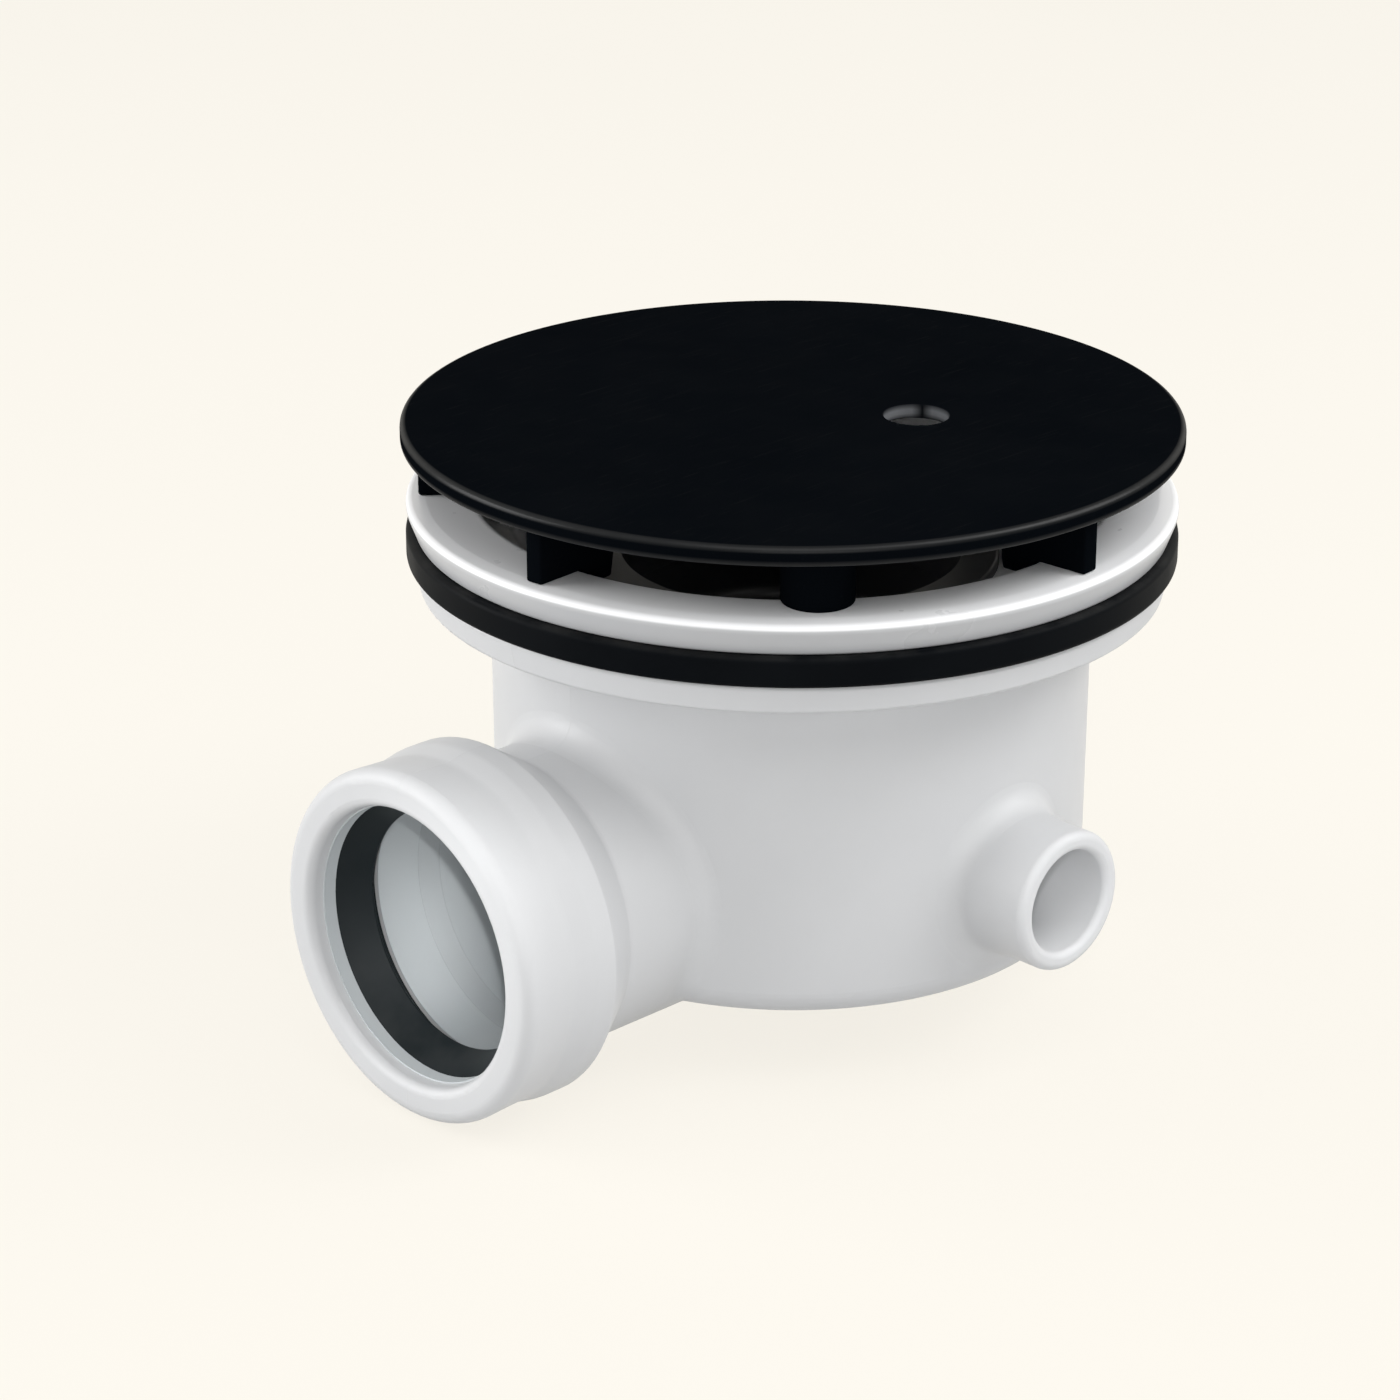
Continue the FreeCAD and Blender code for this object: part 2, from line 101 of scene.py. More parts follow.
# %% Camera
camera_place = Vector((424.37, 417.36, 213.47)) * mm
camera_aim = Vector((-329.08, -358.16, -227.49)) * mm
camera_lens = 109.74
camera_near = 10 * mm
camera = bpy.data.objects.new("camera", bpy.data.cameras.new("camera"))
scene.collection.objects.link(camera)
camera.data.lens = camera_lens
camera.data.clip_start = camera_near
camera.location = camera_place
camera.rotation_mode = "QUATERNION"
camera.rotation_quaternion = (camera_aim - camera_place).to_track_quat("-Z", "Y")
scene.camera = camera
print("camera at", [round(x, 4) for x in camera_place])

# %% [markdown]
# ## Node helpers
# Every material below is a small graph. A few helpers keep the graphs readable: they add a
# node with its sockets filled, do sums, measure distances, blend colours, and start or place a
# shader group.

# %% Node helpers
def fill(tree, socket, value):
    """Give a socket a value, or link it to another socket."""
    if isinstance(value, bpy.types.NodeSocket):
        tree.links.new(value, socket)
    else:
        socket.default_value = value


def add_node(tree, kind, inputs=None, **settings):
    """A new node, with its settings and its input values or links filled in."""
    made = tree.nodes.new(kind)
    for name, value in settings.items():
        setattr(made, name, value)
    for name, value in (inputs or {}).items():
        fill(tree, made.inputs[name], value)
    return made


def maths(tree, operation, *values, clamp=False):
    """Output of a maths node with these values or sockets."""
    inputs = dict(enumerate(values))
    return add_node(tree, "ShaderNodeMath", inputs, operation=operation, use_clamp=clamp).outputs[0]


def split_axes(tree, vector):
    """The x, y and z of a vector."""
    return add_node(tree, "ShaderNodeSeparateXYZ", {0: vector}).outputs


def distance(tree, first, second):
    """Distance from an axis, by the two ways square to it."""
    squares = [maths(tree, "MULTIPLY", way, way) for way in (first, second)]
    return maths(tree, "SQRT", maths(tree, "ADD", *squares))


def spread(tree, value, low, high, to_low=0.0, to_high=1.0):
    """Value moved from one range to another, and held inside it."""
    inputs = {"Value": value, "From Min": low, "From Max": high, "To Min": to_low, "To Max": to_high}
    return add_node(tree, "ShaderNodeMapRange", inputs, clamp=True).outputs["Result"]


def blend_colours(tree, share, first, second):
    """Colour between two colours, by a share from 0 to 1."""
    mixer = add_node(tree, "ShaderNodeMix", data_type="RGBA")
    fill(tree, mixer.inputs[0], share)
    for socket, colour in ((mixer.inputs[6], first), (mixer.inputs[7], second)):
        is_socket = isinstance(colour, bpy.types.NodeSocket)
        fill(tree, socket, colour if is_socket else (*colour, 1.0))
    return mixer.outputs[2]


print("node helpers ready")

# %% Helpers for shader groups
def start_group(name, inputs, outputs):
    """Shader group with named sockets, and its inner ends."""
    tree = bpy.data.node_groups.new(name, "ShaderNodeTree")
    for socket_name, kind, value in inputs:
        socket = tree.interface.new_socket(socket_name, in_out="INPUT", socket_type=kind)
        if value is not None:
            socket.default_value = value
    for socket_name in outputs:
        tree.interface.new_socket(socket_name, in_out="OUTPUT", socket_type="NodeSocketFloat")
    return tree, tree.nodes.new("NodeGroupInput").outputs, tree.nodes.new("NodeGroupOutput").inputs


def use_group(tree, group, **inputs):
    """Place a group in a material and fill its sockets, with _ for each space in a name."""
    made = tree.nodes.new("ShaderNodeGroup")
    made.node_tree = group
    for name, value in inputs.items():
        fill(tree, made.inputs[name.replace("_", " ")], value)
    return made.outputs


print("group helpers ready")

# %% [markdown]
# ## Floor
# The object stands on a plain pale floor. For the camera the floor is mostly its own warm
# colour with a share of real shading, so that it stays pale and still keeps a soft shadow.
# What it throws back onto the waste is neutral, or the white plastic would turn yellow.

# %% Floor
floor_colour = (0.965, 0.930, 0.855)
floor_bounce = (0.62, 0.62, 0.62)
floor_glow_share = 0.88
floor_half = 6.0
floor_height = cad_box[0].z


def shown_rays(tree):
    """1 for the rays that show the background: from the camera, off a mirror or through glass."""
    path = add_node(tree, "ShaderNodeLightPath").outputs
    shown = maths(tree, "MAXIMUM", path["Is Camera Ray"], path["Is Glossy Ray"])
    return maths(tree, "MAXIMUM", shown, path["Is Transmission Ray"])


def floor_material():
    """Pale floor: the camera sees mostly its own colour, and its bounced light is neutral."""
    material = bpy.data.materials.new("pale_floor")
    material.use_nodes = True
    tree = material.node_tree
    tree.nodes.clear()
    position = add_node(tree, "ShaderNodeTexCoord").outputs["Object"]
    cloud = add_node(tree, "ShaderNodeTexNoise", {"Vector": position, "Scale": 3.0, "Detail": 2.0})
    tint = spread(tree, cloud.outputs["Fac"], 0.3, 0.7, 0.99, 1.0)
    colour = add_node(tree, "ShaderNodeVectorMath", {0: floor_colour, 1: tint}, operation="MULTIPLY")
    seen = shown_rays(tree)
    shaded = blend_colours(tree, seen, floor_bounce, colour.outputs[0])
    matt = add_node(tree, "ShaderNodeBsdfDiffuse", {"Color": shaded})
    glow = add_node(tree, "ShaderNodeEmission", {"Color": colour.outputs[0], "Strength": 1.0})
    share = maths(tree, "MULTIPLY", seen, floor_glow_share)
    mixed = add_node(tree, "ShaderNodeMixShader", {0: share, 1: matt.outputs[0], 2: glow.outputs[0]})
    add_node(tree, "ShaderNodeOutputMaterial", {"Surface": mixed.outputs[0]})
    return material


def floor_mesh():
    """One large square at the height of the object's lowest point."""
    corners = [(-1, -1), (1, -1), (1, 1), (-1, 1)]
    mesh = bpy.data.meshes.new("floor")
    points = [(x * floor_half, y * floor_half, floor_height) for x, y in corners]
    mesh.from_pydata(points, [], [(0, 1, 2, 3)])
    mesh.materials.append(floor_material())
    return mesh


floor = bpy.data.objects.new("floor", floor_mesh())
scene.collection.objects.link(floor)
floor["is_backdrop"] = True
print("floor at", round(floor_height, 4))

# %% [markdown]
# ## World and lamps
# A round white body looks round when its flanks are lighter than its middle, so the side lamps
# are stronger than the light from the front. The high lamps reach the flange's crest in the
# gap below the cover, and a low one in front lights the body's foot. Two narrow spots from just
# above the camera look into the outlet's mouth and the spigot's bore, as a photographer's snoot
# does, or both would be dark.

# %% World
world_strength = 0.39


def world_light():
    """Even pale light from all round; the camera, mirrors and glass see the floor's colour there."""
    world = bpy.data.worlds.new("studio")
    world.use_nodes = True
    tree = world.node_tree
    tree.nodes.clear()
    light = add_node(tree, "ShaderNodeBackground", {"Color": (1, 1, 1, 1), "Strength": world_strength})
    shown = add_node(tree, "ShaderNodeBackground", {"Color": (*floor_colour, 1), "Strength": 1.0})
    mixed = add_node(tree, "ShaderNodeMixShader",
                     {0: shown_rays(tree), 1: light.outputs[0], 2: shown.outputs[0]})
    add_node(tree, "ShaderNodeOutputWorld", {"Surface": mixed.outputs[0]})
    return world


scene.world = world_light()
print("world:", scene.world.name, "at", world_strength)

# %% Lamps
camera_side = Vector((0.7071, 0.7071, 0.0))
camera_right = Vector((-0.7071, 0.7071, 0.0))
lamp_aim = Vector((0, 0, -20)) * mm
mouth_aim = Vector((77, 6, -40)) * mm
spigot_aim = Vector((-2, 56.6, -43.4)) * mm
snoot_rise = 40 * mm
snoot_source = 10 * mm
snoot_blend = 0.5


def soft_lamp(name, side, front, height, size, watts):
    """Square area lamp that faces the middle of the waste."""
    lamp = bpy.data.lights.new(name, "AREA")
    lamp.size = size
    lamp.energy = watts
    made = bpy.data.objects.new(name, lamp)
    made.location = camera_right * side + camera_side * front + Vector((0, 0, height))
    made.rotation_mode = "QUATERNION"
    made.rotation_quaternion = (lamp_aim - made.location).to_track_quat("-Z", "Y")
    scene.collection.objects.link(made)
    return made


def snoot(name, target, cone, width_share, watts):
    """Narrow spot lamp from just above the camera, with a soft edge and an upright oval beam."""
    lamp = bpy.data.lights.new(name, "SPOT")
    lamp.energy = watts
    lamp.spot_size = math.radians(cone)
    lamp.spot_blend = snoot_blend
    lamp.shadow_soft_size = snoot_source
    made = bpy.data.objects.new(name, lamp)
    made.location = camera_place + Vector((0, 0, snoot_rise))
    made.scale = (width_share, 1.0, 1.0)
    made.rotation_mode = "QUATERNION"
    made.rotation_quaternion = (target - made.location).to_track_quat("-Z", "Y")
    scene.collection.objects.link(made)
    return made


lamps = [
    soft_lamp("left_lamp", side=-1.0, front=-0.05, height=0.25, size=0.7, watts=8.4),
    soft_lamp("right_lamp", side=0.9, front=-0.10, height=0.60, size=0.7, watts=5.0),
    soft_lamp("right_top_lamp", side=0.70, front=0.25, height=0.90, size=0.7, watts=4.2),
    soft_lamp("front_top_lamp", side=0.0, front=0.62, height=0.95, size=0.8, watts=3.0),
    soft_lamp("low_front_lamp", side=0.10, front=1.00, height=0.16, size=0.6, watts=3.0),
    snoot("mouth_snoot", mouth_aim, cone=3.6, width_share=0.48, watts=12.0),
    snoot("spigot_snoot", spigot_aim, cone=1.5, width_share=0.8, watts=9.0),
]
print("lamps:", [(lamp.name, lamp.data.energy) for lamp in lamps])

# %% [markdown]
# ## Shared finishes
# Mouldings have things in common: a grain from the mould's walls, cloudy patches where the
# plastic flowed, hair scratches from handling, dust on what faces up, and edges rubbed
# smooth. Each is a shader group here, built once, and every material places it with its own
# values. The groups only give masks and heights; the shader itself stays in the material.

# %% Shared finish: grain of the mould
def mould_grain_group():
    """Fine grain, and broad cloudy patches."""
    tree, given, out = start_group(
        "mould_grain",
        [("Position", "NodeSocketVector", None), ("Grain Size", "NodeSocketFloat", 0.0004),
         ("Cloud Size", "NodeSocketFloat", 0.02)],
        ["Grain", "Cloud"])
    place = given["Position"]
    fine_scale = maths(tree, "DIVIDE", 1.0, given["Grain Size"])
    cloud_scale = maths(tree, "DIVIDE", 1.0, given["Cloud Size"])
    fine = add_node(tree, "ShaderNodeTexNoise",
                    {"Vector": place, "Scale": fine_scale, "Detail": 3.0, "Roughness": 0.6})
    cloud = add_node(tree, "ShaderNodeTexNoise",
                     {"Vector": place, "Scale": cloud_scale, "Detail": 4.0, "Roughness": 0.5})
    fill(tree, out["Grain"], fine.outputs["Fac"])
    fill(tree, out["Cloud"], cloud.outputs["Fac"])
    return tree


mould_grain = mould_grain_group()
print("group:", mould_grain.name)

# %% Shared finish: hair scratches
def hair_scratches_group():
    """Thin short scratches in two directions, as a mask."""
    tree, given, out = start_group(
        "hair_scratches",
        [("Position", "NodeSocketVector", None), ("Length", "NodeSocketFloat", 0.012),
         ("Width", "NodeSocketFloat", 0.00025), ("Amount", "NodeSocketFloat", 0.5)],
        ["Mask"])
    along = maths(tree, "DIVIDE", 1.0, given["Length"])
    across = maths(tree, "DIVIDE", 1.0, given["Width"])
    masks = []
    for turn in ((0.5, 0.2, 0.9), (-0.3, 0.7, -0.6)):
        stretch = add_node(tree, "ShaderNodeCombineXYZ", {0: along, 1: across, 2: across})
        turned = add_node(tree, "ShaderNodeMapping",
                          {"Vector": given["Position"], "Rotation": turn, "Scale": stretch.outputs[0]})
        noise = add_node(tree, "ShaderNodeTexNoise",
                         {"Vector": turned.outputs[0], "Scale": 1.0, "Detail": 1.0})
        masks.append(spread(tree, noise.outputs["Fac"], 0.70, 0.78))
    both = maths(tree, "MAXIMUM", *masks)
    fill(tree, out["Mask"], maths(tree, "MULTIPLY", both, given["Amount"]))
    return tree


hair_scratches = hair_scratches_group()
print("group:", hair_scratches.name)

# %% Shared finish: settled dust
def settled_dust_group():
    """Dust on what faces up, in uneven patches, as a mask."""
    tree, given, out = start_group(
        "settled_dust",
        [("Position", "NodeSocketVector", None), ("Normal", "NodeSocketVector", None),
         ("Patch Size", "NodeSocketFloat", 0.006), ("Amount", "NodeSocketFloat", 0.1)],
        ["Mask"])
    facing = spread(tree, split_axes(tree, given["Normal"])[2], 0.3, 0.95)
    scale = maths(tree, "DIVIDE", 1.0, given["Patch Size"])
    patches = add_node(tree, "ShaderNodeTexNoise",
                       {"Vector": given["Position"], "Scale": scale, "Detail": 3.0, "Roughness": 0.5})
    uneven = spread(tree, patches.outputs["Fac"], 0.35, 0.75)
    mask = maths(tree, "MULTIPLY", maths(tree, "MULTIPLY", facing, uneven), given["Amount"])
    fill(tree, out["Mask"], mask)
    return tree


settled_dust = settled_dust_group()
print("group:", settled_dust.name)

# %% Shared finish: rubbed edge
def rubbed_edge_group():
    """Band on both sides of an edge, broken up a little, from the distance to that edge."""
    tree, given, out = start_group(
        "rubbed_edge",
        [("Position", "NodeSocketVector", None), ("Distance", "NodeSocketFloat", 0.0),
         ("Width", "NodeSocketFloat", 0.001)],
        ["Mask"])
    share = maths(tree, "DIVIDE", given["Distance"], given["Width"])
    band = spread(tree, maths(tree, "ABSOLUTE", share), 0.4, 1.0, 1.0, 0.0)
    breaks = add_node(tree, "ShaderNodeTexNoise",
                      {"Vector": given["Position"], "Scale": 260.0, "Detail": 3.0, "Roughness": 0.6})
    kept = spread(tree, breaks.outputs["Fac"], 0.25, 0.6, 0.85, 1.0)
    fill(tree, out["Mask"], maths(tree, "MULTIPLY", band, kept))
    return tree


rubbed_edge = rubbed_edge_group()
print("group:", rubbed_edge.name)

# %% [markdown]
# ## White plastic
# The body, the flange and the cup are moulded in white plastic: a smooth skin with faint
# cloudy flow marks, hair scratches and a little dust. The body's mould opens along the
# outlet, which leaves a fine raised line where its halves met. The line is a bump across the
# plane y = 0, and not a mesh, because it is only a few hundredths of a millimetre high. Two
# places get painted shade, by masks that follow their own sizes: the flange's outer face,
# which faces down below its crest, and the inside of the outlet, most of all the cone that stops the pipe.

# %% Start of a material
def new_material(name):
    """Material with an empty graph, its object coordinates and its Principled shader."""
    material = bpy.data.materials.new(name)
    material.use_nodes = True
    tree = material.node_tree
    tree.nodes.clear()
    place = add_node(tree, "ShaderNodeTexCoord").outputs
    shader = add_node(tree, "ShaderNodeBsdfPrincipled")
    add_node(tree, "ShaderNodeOutputMaterial", {"Surface": shader.outputs[0]})
    return material, tree, place, shader.inputs


def raise_skin(tree, shader, height):
    """Let a height in millimetres bend the shader's normal."""
    bump = add_node(tree, "ShaderNodeBump", {"Height": height, "Distance": mm, "Strength": 1.0})
    fill(tree, shader["Normal"], bump.outputs[0])


print("material helpers ready")

# %% Mask of the painted shade on the flange's rim
rim_high = 4.6 * mm
rim_high_r = 57.3 * mm
rim_low_r = 55.6 * mm
rim_fade = (0.10 * mm, 0.35 * mm)
rim_top_fade = (rim_high - 0.7 * mm, rim_high - 0.3 * mm)


def rim_shade_mask(tree, position):
    """Mask of the painted shade on the flange's outer face, a cone between two radii."""
    axes = split_axes(tree, position)
    from_axis = distance(tree, axes[0], axes[1])
    face_r = spread(tree, axes[2], 0.0, rim_high, rim_low_r, rim_high_r)
    off = maths(tree, "ABSOLUTE", maths(tree, "SUBTRACT", from_axis, face_r))
    on_face = spread(tree, off, *rim_fade, 1.0, 0.0)
    below = spread(tree, axes[2], *rim_top_fade, 1.0, 0.0)
    return maths(tree, "MULTIPLY", on_face, below)


# The flange's outer face below its crest gets painted shade, darker than the crest.
print("satin rim up to", round(rim_high / mm, 2), "mm above the tray")

# %% Masks of the painted shade inside the outlet
outlet_z = -45.2 * mm
outlet_bore_r = 20.4 * mm
outlet_fade = (outlet_bore_r + 0.1 * mm, outlet_bore_r + 0.3 * mm)
inside_start_x = 45.0 * mm
inside_end_x = 74.5 * mm
inside_fade = 0.15 * mm
stop_start_x = 53.65 * mm
stop_end_x = 56.65 * mm


def outlet_shade_masks(tree, position):
    """Masks of the painted shade inside the outlet and, deeper in, on the cone that stops the pipe."""
    axes = split_axes(tree, position)
    from_axis = distance(tree, axes[1], maths(tree, "SUBTRACT", axes[2], outlet_z))
    near = spread(tree, from_axis, *outlet_fade, 1.0, 0.0)
    masks = []
    for start, end in ((inside_start_x, inside_end_x), (stop_start_x, stop_end_x)):
        off = maths(tree, "ABSOLUTE", maths(tree, "SUBTRACT", axes[0], (start + end) / 2))
        half = (end - start) / 2
        within = spread(tree, off, half, half + inside_fade, 1.0, 0.0)
        masks.append(maths(tree, "MULTIPLY", near, within))
    return masks


print("stop of the pipe from x", round(stop_start_x / mm, 2), "to", round(stop_end_x / mm, 2), "mm")

# %% White plastic
cloud_range = (0.3, 0.7)
seam_fade = (0.05 * mm, 0.16 * mm)
white_scratch_colour = (0.58, 0.58, 0.58)
white_dust_colour = (0.60, 0.58, 0.55)
# Painted shade inside the outlet: cooler and darker there, darkest on the cone that stops the pipe.
outlet_shade_colours = ((0.545, 0.578, 0.592), (0.420, 0.445, 0.457))


def white_plastic(name, colour, flow_colour, roughness, specular, seam_height=0.0, rim_shade_colour=None,
                  inside_shade_colours=()):
    """White moulding, if asked with the mould's parting line, painted shade on a rim, or painted shade
    inside an outlet.
    """
    material, tree, place, shader = new_material(name)
    position = place["Object"]
    grain = use_group(tree, mould_grain, Position=position, Grain_Size=0.0007, Cloud_Size=0.016)
    scratch = use_group(tree, hair_scratches, Position=position, Amount=0.08)["Mask"]
    dust = use_group(tree, settled_dust, Position=position, Normal=place["Normal"], Amount=0.03)["Mask"]
    skin = blend_colours(tree, spread(tree, grain["Cloud"], *cloud_range), flow_colour, colour)
    # Painted shade: the flange's outer face is made darker here.
    if rim_shade_colour:
        skin = blend_colours(tree, rim_shade_mask(tree, position), skin, rim_shade_colour)
    # Painted shade inside the outlet, darkest on the cone that stops the pipe.
    if inside_shade_colours:
        for mask, tint in zip(outlet_shade_masks(tree, position), inside_shade_colours):
            skin = blend_colours(tree, mask, skin, tint)
    skin = blend_colours(tree, maths(tree, "MULTIPLY", scratch, 0.05), skin, white_scratch_colour)
    skin = blend_colours(tree, dust, skin, white_dust_colour)
    fill(tree, shader["Base Color"], skin)
    rough = spread(tree, grain["Cloud"], *cloud_range, roughness + 0.05, roughness - 0.04)
    rough = maths(tree, "ADD", rough, maths(tree, "MULTIPLY", scratch, 0.12))
    rough = maths(tree, "ADD", rough, maths(tree, "MULTIPLY", dust, 1.5), clamp=True)
    fill(tree, shader["Roughness"], rough)
    across = maths(tree, "ABSOLUTE", split_axes(tree, position)[1])
    seam = spread(tree, across, *seam_fade, 1.0, 0.0)
    height = maths(tree, "MULTIPLY", grain["Grain"], 0.005)
    height = maths(tree, "ADD", height, maths(tree, "MULTIPLY", seam, seam_height))
    height = maths(tree, "SUBTRACT", height, maths(tree, "MULTIPLY", scratch, 0.003))
    raise_skin(tree, shader, height)
    shader["Specular IOR Level"].default_value = specular
    return material


white_body = white_plastic("white_body", (0.600, 0.606, 0.615), (0.582, 0.588, 0.597), 0.44, 0.36,
                           seam_height=0.02, inside_shade_colours=outlet_shade_colours)
# The flange's rim colour is painted shade on its outer face, darker than its crest.
white_flange = white_plastic("white_flange", (0.915, 0.921, 0.930), (0.90, 0.906, 0.915), 0.30, 0.50,
                             rim_shade_colour=(0.48, 0.486, 0.495))
white_cup = white_plastic("white_cup", (0.82, 0.825, 0.83), (0.80, 0.805, 0.81), 0.34, 0.40)
print("white finishes:", white_body.name, white_flange.name, white_cup.name)

# %% [markdown]
# ## Black plastic
# The cover is black and dull on top, with the fine grain of a spark-eroded mould, so the room
# hardly shows in it. Its edges are rounded and rubbed smooth, and there a thin line of light
# runs round the rim. A dull base with a clear coat that is only strong along the edges gives
# both, and a lighter colour along the edges adds a painted highlight to that line. The distances
# to the edges are taken from the cover's own sizes. The finger hole's wall carries a painted grey
# highlight, apart from a narrow notch.

# %% Sizes of the cover
cover_low, cover_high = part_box("cover")
cover_r = cover_high.x
crown_z = cover_high.z
cover_crown = 1.0 * mm
cover_rim_t = 2.8 * mm
cover_rim_w = 2.0 * mm
cover_wall = 2.2 * mm
cover_top_round = 0.9 * mm
cover_lower_round = 0.5 * mm
finger_hole_r = 4.75 * mm
finger_hole_offset = 18.25 * mm
finger_hole_angle = math.radians(125.5)
finger_hole_round = 0.30 * mm
edge_z = crown_z - cover_crown
under_z = edge_z - cover_rim_t
sphere_r = (cover_r ** 2 + cover_crown ** 2) / (2 * cover_crown)
hole_centre = Vector((math.cos(finger_hole_angle), math.sin(finger_hole_angle))) * finger_hole_offset


def crown_height(radius):
    """Height of the domed top at a distance from the axis."""
    return crown_z - sphere_r + math.sqrt(sphere_r ** 2 - radius ** 2)


print("cover: radius", round(cover_r / mm, 2), "mm, crown at", round(crown_z / mm, 2), "mm")

# %% Painted highlight in the finger hole
notch_angle = math.radians(212.0)
notch_half = 1.5 * mm
hole_wall_fade = (0.10 * mm, 0.22 * mm)
hole_depth_fade = (0.3 * mm, 1.1 * mm)


def hole_glint_mask(tree, hole_x, hole_y, to_hole, height):
    """Mask of a painted highlight on the finger hole's wall, halfway down, except at a narrow notch."""
    notch_way = Vector((math.cos(notch_angle), math.sin(notch_angle)))
    along = maths(tree, "ADD", maths(tree, "MULTIPLY", hole_x, notch_way.x),
                  maths(tree, "MULTIPLY", hole_y, notch_way.y))
    across = maths(tree, "SUBTRACT", maths(tree, "MULTIPLY", hole_y, notch_way.x),
                   maths(tree, "MULTIPLY", hole_x, notch_way.y))
    beside = spread(tree, maths(tree, "ABSOLUTE", across), 0.0, notch_half)
    opposite = maths(tree, "LESS_THAN", along, 0.0)
    wall = spread(tree, maths(tree, "ABSOLUTE", to_hole), *hole_wall_fade, 1.0, 0.0)
    halfway = crown_height(finger_hole_offset) - cover_wall / 2
    depth = maths(tree, "ABSOLUTE", maths(tree, "SUBTRACT", height, halfway))
    wall = maths(tree, "MULTIPLY", wall, spread(tree, depth, *hole_depth_fade, 1.0, 0.0))
    return maths(tree, "MULTIPLY", wall, maths(tree, "MAXIMUM", beside, opposite))


print("finger hole at", [round(place / mm, 2) for place in hole_centre], "mm")

# %% Black plastic of the cover
rubbed_width = 0.9 * mm
cover_dark = (0.0018, 0.0025, 0.0036)
cover_light = (0.0022, 0.0030, 0.0042)
black_scratch_colour = (0.2, 0.2, 0.2)
black_dust_colour = (0.45, 0.43, 0.40)
rubbed_highlight_colour = (0.25, 0.26, 0.27)
# Colour of the painted highlight in the finger hole.
hole_glint_colour = (0.15, 0.156, 0.165)
cover_coat = 0.004


def black_plastic(name, rubbed):
    """Dull black moulding with smooth rubbed edges where it is handled, a painted highlight along them, and
    one in the finger hole.
    """
    material, tree, place, shader = new_material(name)
    position = place["Object"]
    grain = use_group(tree, mould_grain, Position=position, Grain_Size=0.00035, Cloud_Size=0.03)
    scratch = use_group(tree, hair_scratches, Position=position, Width=0.0002, Amount=0.6)["Mask"]
    dust = use_group(tree, settled_dust, Position=position, Normal=place["Normal"],
                     Patch_Size=0.010, Amount=0.0015)["Mask"]
    axes = split_axes(tree, position)
    from_axis = distance(tree, axes[0], axes[1])
    to_rim = maths(tree, "SUBTRACT", from_axis, cover_r)
    to_top = maths(tree, "SUBTRACT", axes[2], edge_z)
    to_low = maths(tree, "SUBTRACT", axes[2], under_z)
    hole_x = maths(tree, "SUBTRACT", axes[0], hole_centre.x)
    hole_y = maths(tree, "SUBTRACT", axes[1], hole_centre.y)
    from_hole = distance(tree, hole_x, hole_y)
    to_hole = maths(tree, "SUBTRACT", from_hole, finger_hole_r)
    off_rim, off_top, off_low = [maths(tree, "ABSOLUTE", off) for off in (to_rim, to_top, to_low)]
    upper = maths(tree, "MAXIMUM", off_rim, off_top)
    lower = maths(tree, "MAXIMUM", off_rim, off_low)
    edges = maths(tree, "MINIMUM", upper, lower)
    rub_and_highlight = use_group(tree, rubbed_edge, Position=position, Distance=edges, Width=rubbed_width)["Mask"]
    glint = hole_glint_mask(tree, hole_x, hole_y, to_hole, axes[2])
    skin = blend_colours(tree, spread(tree, grain["Cloud"], *cloud_range), cover_dark, cover_light)
    skin = blend_colours(tree, maths(tree, "MULTIPLY", scratch, 0.012), skin, black_scratch_colour)
    # Painted highlight: a lighter colour along the rubbed edges adds to the line of light that the coat
    # reflects.
    skin = blend_colours(tree, maths(tree, "MULTIPLY", rub_and_highlight, 0.02), skin, rubbed_highlight_colour)
    # Painted highlight: the finger hole's wall is lit grey, except at the notch.
    skin = blend_colours(tree, glint, skin, hole_glint_colour)
    skin = blend_colours(tree, dust, skin, black_dust_colour)
    fill(tree, shader["Base Color"], skin)
    fill(tree, shader["Roughness"], spread(tree, grain["Cloud"], *cloud_range, 0.60, 0.57))
    coat = maths(tree, "ADD", maths(tree, "MULTIPLY", rub_and_highlight, rubbed), cover_coat)
    coat = maths(tree, "ADD", coat, maths(tree, "MULTIPLY", scratch, 0.03), clamp=True)
    fill(tree, shader["Coat Weight"], coat)
    shader["Coat Roughness"].default_value = 0.28
    shader["Specular IOR Level"].default_value = 0.0
    dull = spread(tree, rub_and_highlight, 0.0, 1.0, 0.018, 0.004)
    height = maths(tree, "MULTIPLY", grain["Grain"], dull)
    raise_skin(tree, shader, height)
    return material


black_cover = black_plastic("black_cover", rubbed=0.36)
print("cover's finish:", black_cover.name)

# %% Black plastic inside
tube_dark = (0.012, 0.013, 0.015)
tube_light = (0.020, 0.021, 0.023)
water_scale_colour = (0.42, 0.41, 0.39)


